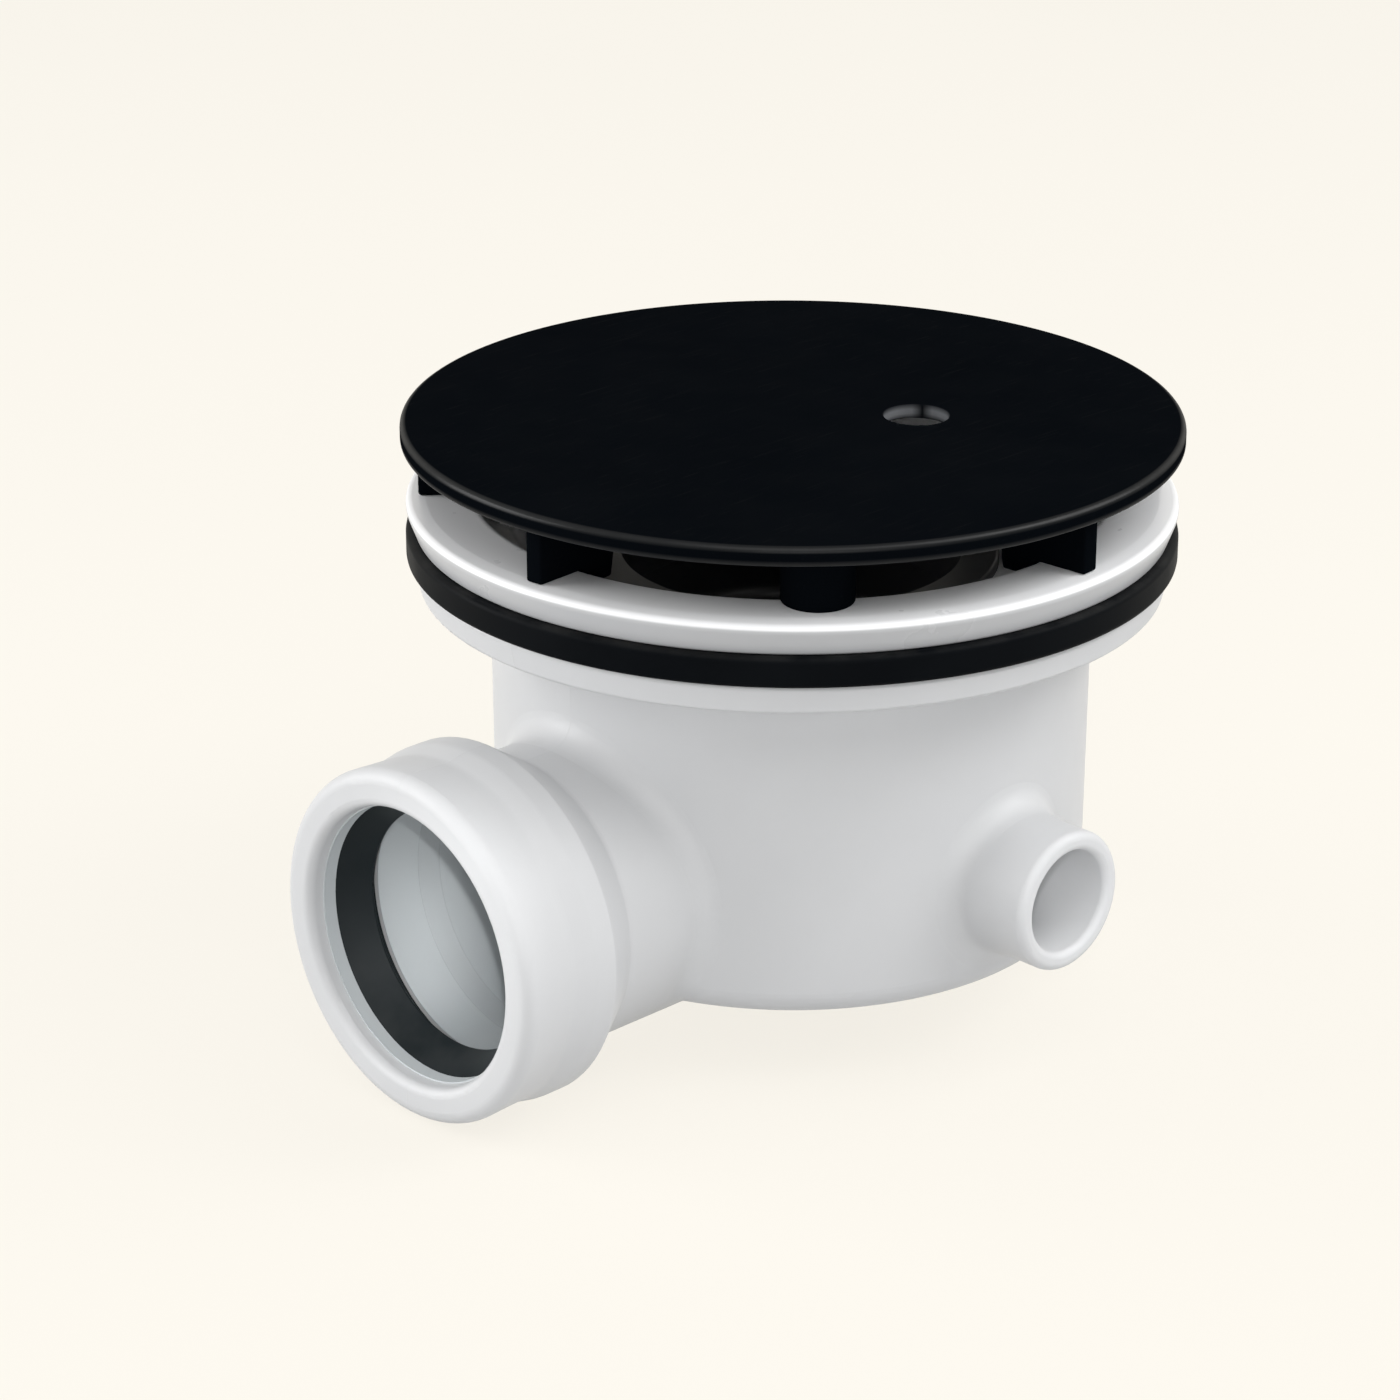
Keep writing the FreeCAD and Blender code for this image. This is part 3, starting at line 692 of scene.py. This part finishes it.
def black_inner_plastic(name):
    """Smooth black moulding of the parts inside, with a little water scale on what faces up."""
    material, tree, place, shader = new_material(name)
    position = place["Object"]
    grain = use_group(tree, mould_grain, Position=position, Grain_Size=0.0005, Cloud_Size=0.012)
    scratch = use_group(tree, hair_scratches, Position=position, Amount=0.5)["Mask"]
    scale = use_group(tree, settled_dust, Position=position, Normal=place["Normal"],
                      Patch_Size=0.004, Amount=0.01)["Mask"]
    skin = blend_colours(tree, spread(tree, grain["Cloud"], *cloud_range), tube_dark, tube_light)
    skin = blend_colours(tree, maths(tree, "MULTIPLY", scratch, 0.02), skin, black_scratch_colour)
    skin = blend_colours(tree, scale, skin, water_scale_colour)
    fill(tree, shader["Base Color"], skin)
    fill(tree, shader["Roughness"], spread(tree, grain["Cloud"], *cloud_range, 0.42, 0.34))
    height = maths(tree, "MULTIPLY", grain["Grain"], 0.006)
    raise_skin(tree, shader, height)
    return material


black_tube = black_inner_plastic("black_tube")
print("dip tube's finish:", black_tube.name)

# %% [markdown]
# ## Rubber and steel
# The seals are black rubber with a faint dusty bloom and little shine: the tray seal and the
# O-ring about as black as the cover, the lip seal a shade greyer. The screws are bright steel
# with a fine grain and a few dull spots. Both come from the shared grain, with other values.

# %% Rubber
rubber_dust_colour = (0.30, 0.29, 0.27)


def rubber(name, colour, bloom_colour, roughness, specular):
    """Moulded black rubber with a dusty bloom."""
    material, tree, place, shader = new_material(name)
    position = place["Object"]
    grain = use_group(tree, mould_grain, Position=position, Grain_Size=0.0003, Cloud_Size=0.012)
    dust = use_group(tree, settled_dust, Position=position, Normal=place["Normal"], Amount=0.05)["Mask"]
    skin = blend_colours(tree, spread(tree, grain["Cloud"], 0.35, 0.75), colour, bloom_colour)
    skin = blend_colours(tree, dust, skin, rubber_dust_colour)
    fill(tree, shader["Base Color"], skin)
    rough = spread(tree, grain["Cloud"], *cloud_range, roughness - 0.06, roughness + 0.06)
    fill(tree, shader["Roughness"], rough)
    height = maths(tree, "MULTIPLY", grain["Grain"], 0.010)
    raise_skin(tree, shader, height)
    shader["Specular IOR Level"].default_value = specular
    return material


seal_rubber = rubber("seal_rubber", (0.0017, 0.0024, 0.0034), (0.0029, 0.0038, 0.0050), 0.52, 0.03)
lip_rubber = rubber("lip_rubber", (0.012, 0.016, 0.018), (0.017, 0.021, 0.023), 0.40, 0.10)
print("seals:", seal_rubber.name, lip_rubber.name)

# %% Steel
dull_steel = (0.46, 0.46, 0.46)
bright_steel = (0.62, 0.62, 0.63)


def steel(name):
    """Bright steel with a fine grain and a few dull spots."""
    material, tree, place, shader = new_material(name)
    position = place["Object"]
    grain = use_group(tree, mould_grain, Position=position, Grain_Size=0.00012, Cloud_Size=0.003)
    spots = spread(tree, grain["Cloud"], 0.35, 0.7)
    fill(tree, shader["Base Color"], blend_colours(tree, spots, dull_steel, bright_steel))
    fill(tree, shader["Roughness"], spread(tree, spots, 0.0, 1.0, 0.42, 0.28))
    shader["Metallic"].default_value = 1.0
    height = maths(tree, "MULTIPLY", grain["Grain"], 0.008)
    raise_skin(tree, shader, height)
    return material


screw_steel = steel("screw_steel")
print("screws:", screw_steel.name)

# %% [markdown]
# ## Finishes on the solids
# The lip seal, the dip tube with its O-ring and the cup sit inside, where little of them shows,
# so their solids stay as they are and only get a finish in their slots.

# %% Finishes on the solids
finish_of = {
    "outlet_lip_seal": lip_rubber,
    "dip_tube": black_tube,
    "dip_tube_o_ring": seal_rubber,
    "trap_cup": white_cup,
}
for node, finish in finish_of.items():
    for place in nodes[node].material_slots:
        place.material = finish
print("finishes on", len(finish_of), "solids")

# %% [markdown]
# ## Meshes from rings of points
# The cover, the screws, the flange and the tray seal are remade here, finer than their solids.
# All are skins through rings of points, which gives even quads and rounded edges without a
# Bevel modifier. The helpers below draw arcs and rounded outlines, and skin the rings.

# %% Rings, arcs and outlines
def skin_rings(name, rings, joined=False):
    """Mesh through rings of points, capped at both ends or, if joined, closed from last to first."""
    shape = bmesh.new()
    placed = [[shape.verts.new(point) for point in ring] for ring in rings]
    pairs = list(zip(placed, placed[1:]))
    if joined:
        pairs.append((placed[-1], placed[0]))
    else:
        shape.faces.new(placed[0])
        shape.faces.new(placed[-1])
    for low, high in pairs:
        for i in range(len(low)):
            k = (i + 1) % len(low)
            shape.faces.new((low[i], low[k], high[k], high[i]))
    bmesh.ops.recalc_face_normals(shape, faces=shape.faces)
    mesh = bpy.data.meshes.new(name)
    shape.to_mesh(mesh)
    shape.free()
    return mesh


def arc_points(centre_a, centre_b, arc_r, start, end, steps=6):
    """Points along an arc in a plane, by its centre, radius and end angles in degrees."""
    turns = [math.radians(start + (end - start) * i / steps) for i in range(steps + 1)]
    return [(centre_a + arc_r * math.cos(turn), centre_b + arc_r * math.sin(turn)) for turn in turns]


def rounded_outline(corners, steps=4):
    """Closed outline through (a, b, round) corners: tangent arcs, with a point close before and after."""
    hold = 0.12 * mm
    outline = []
    for i, (a, b, corner_r) in enumerate(corners):
        corner = Vector((a, b))
        back = (Vector(corners[i - 1][:2]) - corner).normalized()
        ahead = (Vector(corners[(i + 1) % len(corners)][:2]) - corner).normalized()
        half = back.angle(ahead) / 2
        reach = corner_r / math.tan(half)
        centre = corner + (back + ahead).normalized() * (corner_r / math.sin(half))
        first = corner + back * reach - centre
        last = corner + ahead * reach - centre
        ways = [first.slerp(last, step / steps) for step in range(steps + 1)]
        outline.append(corner + back * (reach + hold))
        outline += [centre + way * corner_r for way in ways]
        outline.append(corner + ahead * (reach + hold))
    return outline


def circle_ring(radius, height, steps, centre_x=0.0):
    """Level ring of points round an upright axis."""
    turns = [2 * math.pi * i / steps for i in range(steps)]
    return [Vector((centre_x + radius * math.cos(t), radius * math.sin(t), height)) for t in turns]


print("ring helpers ready")

# %% [markdown]
# ## Cover
# The cover is one moulding: a thin domed disc with a thicker rim, a finger hole away from its
# middle, and feet below. A turned disc with a hole cut by a Boolean would leave long uneven
# faces, which show as flaws in a dark surface. So the disc is a closed skin of rings that
# change from the hole's circle to the rim's circle, and the rounded edges of hole and rim are
# rings of their own.

# %% Cover: disc with its finger hole
disc_steps = 288
top_rings = 24
under_rings = 12
recess_r = cover_r - cover_rim_w
recess_round = 0.6 * mm
small_round = 0.3 * mm


def disc_rings():
    """Rings of the disc's skin: over the top, round the rim, back underneath and up the hole."""
    turns = [2 * math.pi * i / disc_steps for i in range(disc_steps)]
    directions = [Vector((math.cos(turn), math.sin(turn))) for turn in turns]

    def rim_direction(direction):
        along = hole_centre.dot(direction)
        reach = math.sqrt(along ** 2 - hole_centre.length_squared + cover_r ** 2) - along
        return (hole_centre + direction * reach).normalized()

    outward = [rim_direction(direction) for direction in directions]

    def on_dome(spots, drop):
        return [Vector((spot.x, spot.y, crown_height(spot.length) - drop)) for spot in spots]

    def rim_ring(radius, height):
        return [Vector((way.x * radius, way.y * radius, height)) for way in outward]

    def hole_ring(radius, drop):
        return on_dome([hole_centre + direction * radius for direction in directions], drop)

    def between(first, last, count, drop):
        shares = [step / count for step in range(1, count)]
        return [on_dome([a.xy.lerp(b.xy, share) for a, b in zip(first, last)], drop) for share in shares]

    top_edge_r = cover_r - cover_top_round
    top_edge_z = crown_height(top_edge_r) - cover_top_round
    root_z = crown_height(recess_r) - cover_wall
    low_r = cover_r - cover_lower_round
    profile = arc_points(top_edge_r, top_edge_z, cover_top_round, 90, 0)
    profile += arc_points(low_r, under_z + cover_lower_round, cover_lower_round, 0, -90)
    profile += arc_points(recess_r + small_round, under_z + small_round, small_round, -90, -180)
    profile += arc_points(recess_r - recess_round, root_z - recess_round, recess_round, 0, 90)
    rim = [rim_ring(radius, height) for radius, height in profile]
    low_edge = arc_points(finger_hole_r + small_round, cover_wall - small_round, small_round, 90, 180)
    top_edge = arc_points(finger_hole_r + finger_hole_round, finger_hole_round, finger_hole_round, 180, 270)
    hole = [hole_ring(radius, drop) for radius, drop in low_edge + top_edge]
    top = between(hole[-1], rim[0], top_rings, 0.0)
    under = between(rim[-1], hole[0], under_rings, cover_wall)
    return top + rim + under + hole


disc_mesh = skin_rings("cover_disc", disc_rings(), joined=True)
print("disc:", len(disc_mesh.polygons), "faces")

# %% [markdown]
# ## Feet of the cover
# Six ribs and two bosses stand on the flange's crest. A rib is a plate with a stepped outline:
# its foot stands on the crest, and its leg reaches into the dish and centres the cover. Its
# outline is drawn once and then carried across its thickness, a little smaller at both faces,
# which rounds its edges. The boss is turned, and flares where it grows out of the disc.

# %% One rib and one boss
crest_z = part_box("clamping_flange")[1].z
foot_root_z = edge_z - cover_wall / 2
foot_soft = 0.35 * mm
rib_round = 0.5 * mm
rib_t = 2.8 * mm
rib_out_r = cover_r - 2.5 * mm
rib_heel_r = 46.5 * mm
rib_leg_w = 3.0 * mm
rib_slope_w = 2.0 * mm
boss_r = 5.2 * mm
boss_offset = 47.4 * mm
boss_flare = 0.8 * mm
boss_steps = 56


def rib_mesh():
    """Rib along +X, from its leg in the dish to its root inside the disc."""
    leg_z = cover_low.z
    leg_out_r = rib_heel_r - rib_leg_w
    leg_in_r = leg_out_r - rib_leg_w
    outline = rounded_outline([
        (leg_in_r - rib_slope_w, foot_root_z, rib_round), (leg_in_r, leg_z, rib_round),
        (leg_out_r, leg_z, rib_round), (rib_heel_r, crest_z, rib_round),
        (rib_out_r, crest_z, rib_round), (rib_out_r, foot_root_z, rib_round)])
    inward = []
    for i in range(len(outline)):
        along = (outline[(i + 1) % len(outline)] - outline[i - 1]).normalized()
        inward.append(Vector((-along.y, along.x)))
    rings = []
    flat = rib_t / 2 - foot_soft
    for side, turns in ((-1, (0, 30, 60, 90)), (1, (90, 60, 30, 0))):
        for turn in turns:
            inset = foot_soft * (1 - math.sin(math.radians(turn)))
            across = side * (flat + foot_soft * math.cos(math.radians(turn)))
            spots = [point + way * inset for point, way in zip(outline, inward)]
            rings.append([Vector((spot.x, across, spot.y)) for spot in spots])
    return skin_rings("cover_rib", rings)


def boss_mesh():
    """Round boss on the +X side, with a soft lower edge and a flare at its root."""
    flare_z = crown_height(boss_offset) - cover_wall
    profile = arc_points(boss_r - foot_soft, crest_z + foot_soft, foot_soft, -90, 0, 4)
    profile += arc_points(boss_r + boss_flare, flare_z - boss_flare, boss_flare, 180, 90, 5)
    profile.append((boss_r + boss_flare, foot_root_z))
    return skin_rings("cover_boss", [circle_ring(r, z, boss_steps, boss_offset) for r, z in profile])


rib_piece = rib_mesh()
boss_piece = boss_mesh()
print("rib:", len(rib_piece.polygons), "faces, boss:", len(boss_piece.polygons), "faces")

# %% [markdown]
# ## A ring of pieces
# Feet and screws repeat round the waste's axis, so one Geometry Nodes tree makes both. It puts
# points on the axis, turns a copy of the piece at each, and either takes every n-th place or
# leaves it out, because the bosses stand where every fourth rib would be. Copies by hand would
# do the same, but here the count and the turn are inputs that can be changed.

# %% Geometry Nodes: ring of pieces
def ring_of_pieces_tree():
    """Tree that turns copies of one piece about the upright axis."""
    tree = bpy.data.node_groups.new("ring_of_pieces", "GeometryNodeTree")
    sockets = {"Piece": "Object", "Count": "Int", "Turn": "Float", "Every": "Int",
               "Leave Out": "Bool", "Finish": "Material"}
    for name, kind in sockets.items():
        tree.interface.new_socket(name, in_out="INPUT", socket_type="NodeSocket" + kind)
    tree.interface.new_socket("Geometry", in_out="OUTPUT", socket_type="NodeSocketGeometry")
    given = add_node(tree, "NodeGroupInput").outputs
    index = add_node(tree, "GeometryNodeInputIndex").outputs[0]
    step = maths(tree, "DIVIDE", 2 * math.pi, given["Count"])
    angle = maths(tree, "ADD", maths(tree, "MULTIPLY", index, step), given["Turn"])
    upright = add_node(tree, "ShaderNodeCombineXYZ", {2: angle}).outputs[0]
    turned = add_node(tree, "FunctionNodeEulerToRotation", {0: upright}).outputs[0]
    place = maths(tree, "MODULO", index, given["Every"])
    first = maths(tree, "LESS_THAN", place, 0.5)
    chosen = add_node(tree, "FunctionNodeBooleanMath", {0: first, 1: given["Leave Out"]}, operation="XOR")
    points = add_node(tree, "GeometryNodePoints", {"Count": given["Count"]})
    piece = add_node(tree, "GeometryNodeObjectInfo", {"Object": given["Piece"]})
    copies = add_node(tree, "GeometryNodeInstanceOnPoints",
                      {"Points": points.outputs[0], "Selection": chosen.outputs[0],
                       "Instance": piece.outputs["Geometry"], "Rotation": turned})
    real = add_node(tree, "GeometryNodeRealizeInstances", {"Geometry": copies.outputs[0]})
    finished = add_node(tree, "GeometryNodeSetMaterial",
                        {"Geometry": real.outputs[0], "Material": given["Finish"]})
    add_node(tree, "NodeGroupOutput", {"Geometry": finished.outputs[0]})
    return tree


ring_tree = ring_of_pieces_tree()


def ring_of_pieces(mesh, finish, count, turn, every=1, leave_out=False):
    """Plain mesh with the copies that the tree makes of one piece."""
    piece = bpy.data.objects.new("one_piece", mesh)
    maker = bpy.data.objects.new("ring_maker", bpy.data.meshes.new("ring_maker"))
    for helper in (piece, maker):
        scene.collection.objects.link(helper)
    rule = maker.modifiers.new("ring", "NODES")
    rule.node_group = ring_tree
    values = {"Piece": piece, "Count": count, "Turn": math.radians(turn), "Every": every,
              "Leave Out": leave_out, "Finish": finish}
    for socket in ring_tree.interface.items_tree:
        if socket.in_out == "INPUT":
            rule[socket.identifier] = values[socket.name]
    made = bpy.data.meshes.new_from_object(maker.evaluated_get(bpy.context.evaluated_depsgraph_get()))
    maker.modifiers.remove(rule)
    for helper in (piece, maker):
        bpy.data.objects.remove(helper)
    return made


print("tree:", ring_tree.name, "with", len(ring_tree.nodes), "nodes")

# %% [markdown]
# ## One moulding
# The real cover comes out of the mould in one piece, so disc and feet are united by a Boolean,
# and no hidden faces stay inside. Only the underside is cut by it. A count of open edges shows
# whether the union is closed.

# %% Helpers for whole pieces
double_gap = 0.002 * mm
crease_angle = math.radians(38)


def cut_or_unite(mesh, tools, operation):
    """Mesh that is left when a Boolean has worked on it with each tool mesh."""
    work = bpy.data.objects.new("work", mesh)
    helpers = [bpy.data.objects.new("tool", tool) for tool in tools]
    for helper in [work] + helpers:
        scene.collection.objects.link(helper)
    for tool in helpers:
        rule = work.modifiers.new("boolean", "BOOLEAN")
        rule.operation = operation
        rule.solver = "EXACT"
        rule.object = tool
    made = bpy.data.meshes.new_from_object(work.evaluated_get(bpy.context.evaluated_depsgraph_get()))
    for helper in [work] + helpers:
        bpy.data.objects.remove(helper)
    return made


def smooth_mesh(mesh, finish):
    """Merge doubles, shade smooth with sharp creases, give one finish and count the open edges."""
    shape = bmesh.new()
    shape.from_mesh(mesh)
    bmesh.ops.remove_doubles(shape, verts=shape.verts, dist=double_gap)
    bmesh.ops.recalc_face_normals(shape, faces=shape.faces)
    for face in shape.faces:
        face.smooth = True
        face.material_index = 0
    open_edges = sum(1 for edge in shape.edges if not edge.is_manifold)
    shape.to_mesh(mesh)
    shape.free()
    mesh.set_sharp_from_angle(angle=crease_angle)
    mesh.materials.clear()
    mesh.materials.append(finish)
    return open_edges


def add_piece(name, mesh, node):
    """Put a finished mesh into the scene, in place of a solid."""
    piece = bpy.data.objects.new(name, mesh)
    scene.collection.objects.link(piece)
    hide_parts(node)
    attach(piece, "root")


print("piece helpers ready")

# %% Cover: disc and feet in one piece
foot_count = 8
foot_turn = 49.0
boss_every = 4
ribs = ring_of_pieces(rib_piece, black_cover, foot_count, foot_turn, boss_every, leave_out=True)
bosses = ring_of_pieces(boss_piece, black_cover, foot_count, foot_turn, boss_every)
cover_mesh = cut_or_unite(disc_mesh, [ribs, bosses], "UNION")
cover_open = smooth_mesh(cover_mesh, black_cover)
add_piece("cover_moulding", cover_mesh, "cover")
print("cover:", len(cover_mesh.polygons), "faces,", cover_open, "open edges")

# %% [markdown]
# ## Flange screws
# Four slotted screws hold the flange to the body. The solid's plain shank gets its thread here:
# the skin's radius follows a tooth that climbs by one pitch in each turn, which is simpler than
# sweeping a profile along a helix and leaves no overlaps. The slot is cut by a Boolean.

# %% One screw
screw_low, screw_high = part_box("flange_screws")
head_r = 3.4 * mm
head_h = 2.6 * mm
head_round = 1.2 * mm
head_soft = 0.2 * mm
slot_w = 1.2 * mm
slot_depth = 1.3 * mm
slot_reach = 1.5 * head_r
thread_r = 2.3 * mm
core_r = 1.75 * mm
thread_pitch = 1.8 * mm
tooth_half = 0.3
tip_taper = 3.0 * mm
tip_share = 0.25
screw_count = 4
screw_turn = 45.0
screw_steps = 36
thread_step = 0.15 * mm
seat_z = screw_high.z - head_h
screw_offset = (screw_high.x - head_r) * math.sqrt(2)


def thread_ring(height):
    """Ring of the shank, standing out where the tooth passes."""
    taper = min(1.0, tip_share + (1 - tip_share) * (height - screw_low.z) / tip_taper)
    fade = min(1.0, max(0.0, (seat_z - thread_pitch - height) / thread_pitch))
    ring = []
    for i in range(screw_steps):
        phase = (height / thread_pitch - i / screw_steps) % 1.0
        tooth = max(0.0, 1.0 - abs(phase - 0.5) / tooth_half) * fade
        radius = (core_r + (thread_r - core_r) * tooth) * taper
        turn = 2 * math.pi * i / screw_steps
        ring.append(Vector((screw_offset + radius * math.cos(turn), radius * math.sin(turn), height)))
    return ring


def screw_mesh():
    """Slotted pan-head screw on the +X side, point down."""
    count = round((seat_z - screw_low.z) / thread_step)
    rings = [thread_ring(screw_low.z + (seat_z - screw_low.z) * i / count) for i in range(count + 1)]
    profile = [(head_r - head_soft, seat_z), (head_r, seat_z + head_soft)]
    profile += arc_points(head_r - head_round, screw_high.z - head_round, head_round, 0, 90)
    rings += [circle_ring(radius, height, screw_steps, screw_offset) for radius, height in profile]
    corners = [(-1, -1), (1, -1), (1, 1), (-1, 1)]
    slot = [[Vector((screw_offset + slot_reach * a, slot_w / 2 * b, height)) for a, b in corners]
            for height in (screw_high.z - slot_depth, screw_high.z + slot_depth)]
    return cut_or_unite(skin_rings("screw", rings), [skin_rings("slot", slot)], "DIFFERENCE")


screws_mesh = ring_of_pieces(screw_mesh(), screw_steel, screw_count, screw_turn)
screws_open = smooth_mesh(screws_mesh, screw_steel)
add_piece("slotted_screws", screws_mesh, "flange_screws")
print("screws:", len(screws_mesh.polygons), "faces,", screws_open, "open edges")

# %% [markdown]
# ## Clamping flange and tray seal
# Both are rings that a lathe could turn. Their solids show short facets along the rounded
# edges, where the light draws a thin line, so they are turned again here with many steps: an
# outline with rounded corners becomes a ring of rings. The flange's four screw holes are cut
# afterwards, with the same ring of pieces that placed the screws.

# %% Turned rings
turned_steps = 320


def turned_ring(name, corners):
    """Closed ring turned about the upright axis from (radius, height, round) corners."""
    outline = rounded_outline(corners)
    return skin_rings(name, [circle_ring(point.x, point.y, turned_steps) for point in outline], joined=True)


print("rings are turned in", turned_steps, "steps")

# %% Clamping flange
collar_r = 29.2 * mm
collar_out_r = 31.0 * mm
dish_floor_r = 38.9 * mm
dish_under_r = 41.0 * mm
dish_knee_r = 41.8 * mm
dish_r = 44.3 * mm
crest_in_r = 47.0 * mm
crest_out_r = 54.0 * mm
dish_knee_z = 0.6 * mm
dish_side_z = -1.2 * mm
dish_floor_z = -6.0 * mm
dish_under_z = -8.0 * mm
screw_hole_r = 2.7 * mm
screw_hole_steps = 40
drill_reach = 1.0 * mm
collar_low_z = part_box("clamping_flange")[0].z
edge_soft = 0.3 * mm
dish_round = 1.0 * mm
knee_round = 3.0 * mm
crest_in_round = 1.5 * mm
crest_out_round = 3.0 * mm
rim_round = 1.0 * mm
rim_low_round = 0.6 * mm
collar_round = 0.8 * mm


def flange_ring():
    """Flange from its collar up through the dish, over the crest and back underneath."""
    corners = [
        (collar_r, dish_floor_z, edge_soft), (dish_floor_r, dish_floor_z, dish_round),
        (dish_knee_r, dish_knee_z, knee_round), (crest_in_r, crest_z, crest_in_round),
        (crest_out_r, crest_z, crest_out_round), (rim_high_r, rim_high, rim_round),
        (rim_low_r, 0.0, rim_low_round), (dish_r, 0.0, edge_soft), (dish_r, dish_side_z, edge_soft),
        (dish_under_r, dish_under_z, edge_soft), (collar_out_r, dish_under_z, collar_round),
        (collar_out_r, collar_low_z, edge_soft), (collar_r, collar_low_z, edge_soft)]
    drill_heights = (dish_under_z - drill_reach, dish_floor_z + drill_reach)
    drill = [circle_ring(screw_hole_r, height, screw_hole_steps, screw_offset) for height in drill_heights]
    drills = ring_of_pieces(skin_rings("screw_hole", drill), white_flange, screw_count, screw_turn)
    return cut_or_unite(turned_ring("flange", corners), [drills], "DIFFERENCE")


flange_mesh = flange_ring()
flange_open = smooth_mesh(flange_mesh, white_flange)
add_piece("flange_ring", flange_mesh, "clamping_flange")
print("flange:", len(flange_mesh.polygons), "faces,", flange_open, "open edges")

# %% Tray seal
seal_low, seal_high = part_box("tray_seal")
seal_in_r = 46.0 * mm
seal_round = 0.8 * mm
seal_mesh = turned_ring("seal", [
    (seal_in_r, seal_low.z, edge_soft), (seal_in_r, seal_high.z, edge_soft),
    (seal_high.x, seal_high.z, seal_round), (seal_high.x, seal_low.z, seal_round)])
seal_open = smooth_mesh(seal_mesh, seal_rubber)
add_piece("seal_ring", seal_mesh, "tray_seal")
print("seal:", len(seal_mesh.polygons), "faces,", seal_open, "open edges")

# %% [markdown]
# ## Trap body
# The body's solid is fine as it is, apart from the low step that stops a hose at the spigot's
# root: the light draws its sharp corner like a crack. A merged copy takes the solid's place,
# with the step's two edges moved apart along the spigot, so that the step becomes a gentle
# slope. The copy keeps the corner normals of the solid, which follow its true surfaces. Only
# on the slope they are set to point straight away from the spigot's axis.

# %% Trap body with a softened step
spigot_z = -43.9 * mm
step_y = 48.95 * mm
step_middle_r = 10.65 * mm
step_half = 0.2 * mm
step_back = 0.5 * mm
step_ahead = 1.2 * mm
same_place = 0.01 * mm


def merged_copy(source):
    """Copy of a solid's mesh in which corners at the same place are one."""
    places = {}
    place_of = [places.setdefault(tuple(vert.co), len(places)) for vert in source.vertices]
    faces = [[place_of[i] for i in face.vertices] for face in source.polygons]
    mesh = bpy.data.meshes.new("body")
    mesh.from_pydata(list(places), [], faces)
    return mesh


def from_spigot_axis(point):
    """Vector from the spigot's axis to a point, square to the axis."""
    return Vector((point.x, 0.0, point.z - spigot_z))


def softened_body():
    """Body whose step at the spigot's root is a slope, and the count of the slope's faces."""
    source = nodes["trap_body"].data
    normals = [corner.vector.copy() for corner in source.corner_normals]
    mesh = merged_copy(source)
    edges = {}
    for vert in mesh.vertices:
        outside = from_spigot_axis(vert.co).length - step_middle_r
        if abs(vert.co.y - step_y) < same_place and abs(outside) < step_half:
            edges[vert.index] = -step_back if outside > 0 else step_ahead
    slope = [face for face in mesh.polygons if all(i in edges for i in face.vertices)]
    for face in slope:
        for i in face.loop_indices:
            normals[i] = from_spigot_axis(mesh.vertices[mesh.loops[i].vertex_index].co).normalized()
    for i, shift in edges.items():
        mesh.vertices[i].co.y += shift
    mesh.shade_smooth()
    mesh.normals_split_custom_set(normals)
    mesh.materials.append(white_body)
    return mesh, len(slope)


body_mesh, slope_faces = softened_body()
add_piece("body_moulding", body_mesh, "trap_body")
print("body:", len(body_mesh.polygons), "faces,", slope_faces, "of them on the softened step")

# %% [markdown]
# ## Sizes, and the end
# The box of the dressed part is measured beside the box of the solids, and their largest
# difference is printed. Each remade piece keeps to the box of the solid that it replaces, so the two should
# agree.

# %% Sizes, and the end
visual_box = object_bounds()
gap = max(abs(a - b) for cad, visual in zip(cad_box, visual_box) for a, b in zip(cad, visual))
print("boxes differ by at most", round(gap / mm, 4), "mm")
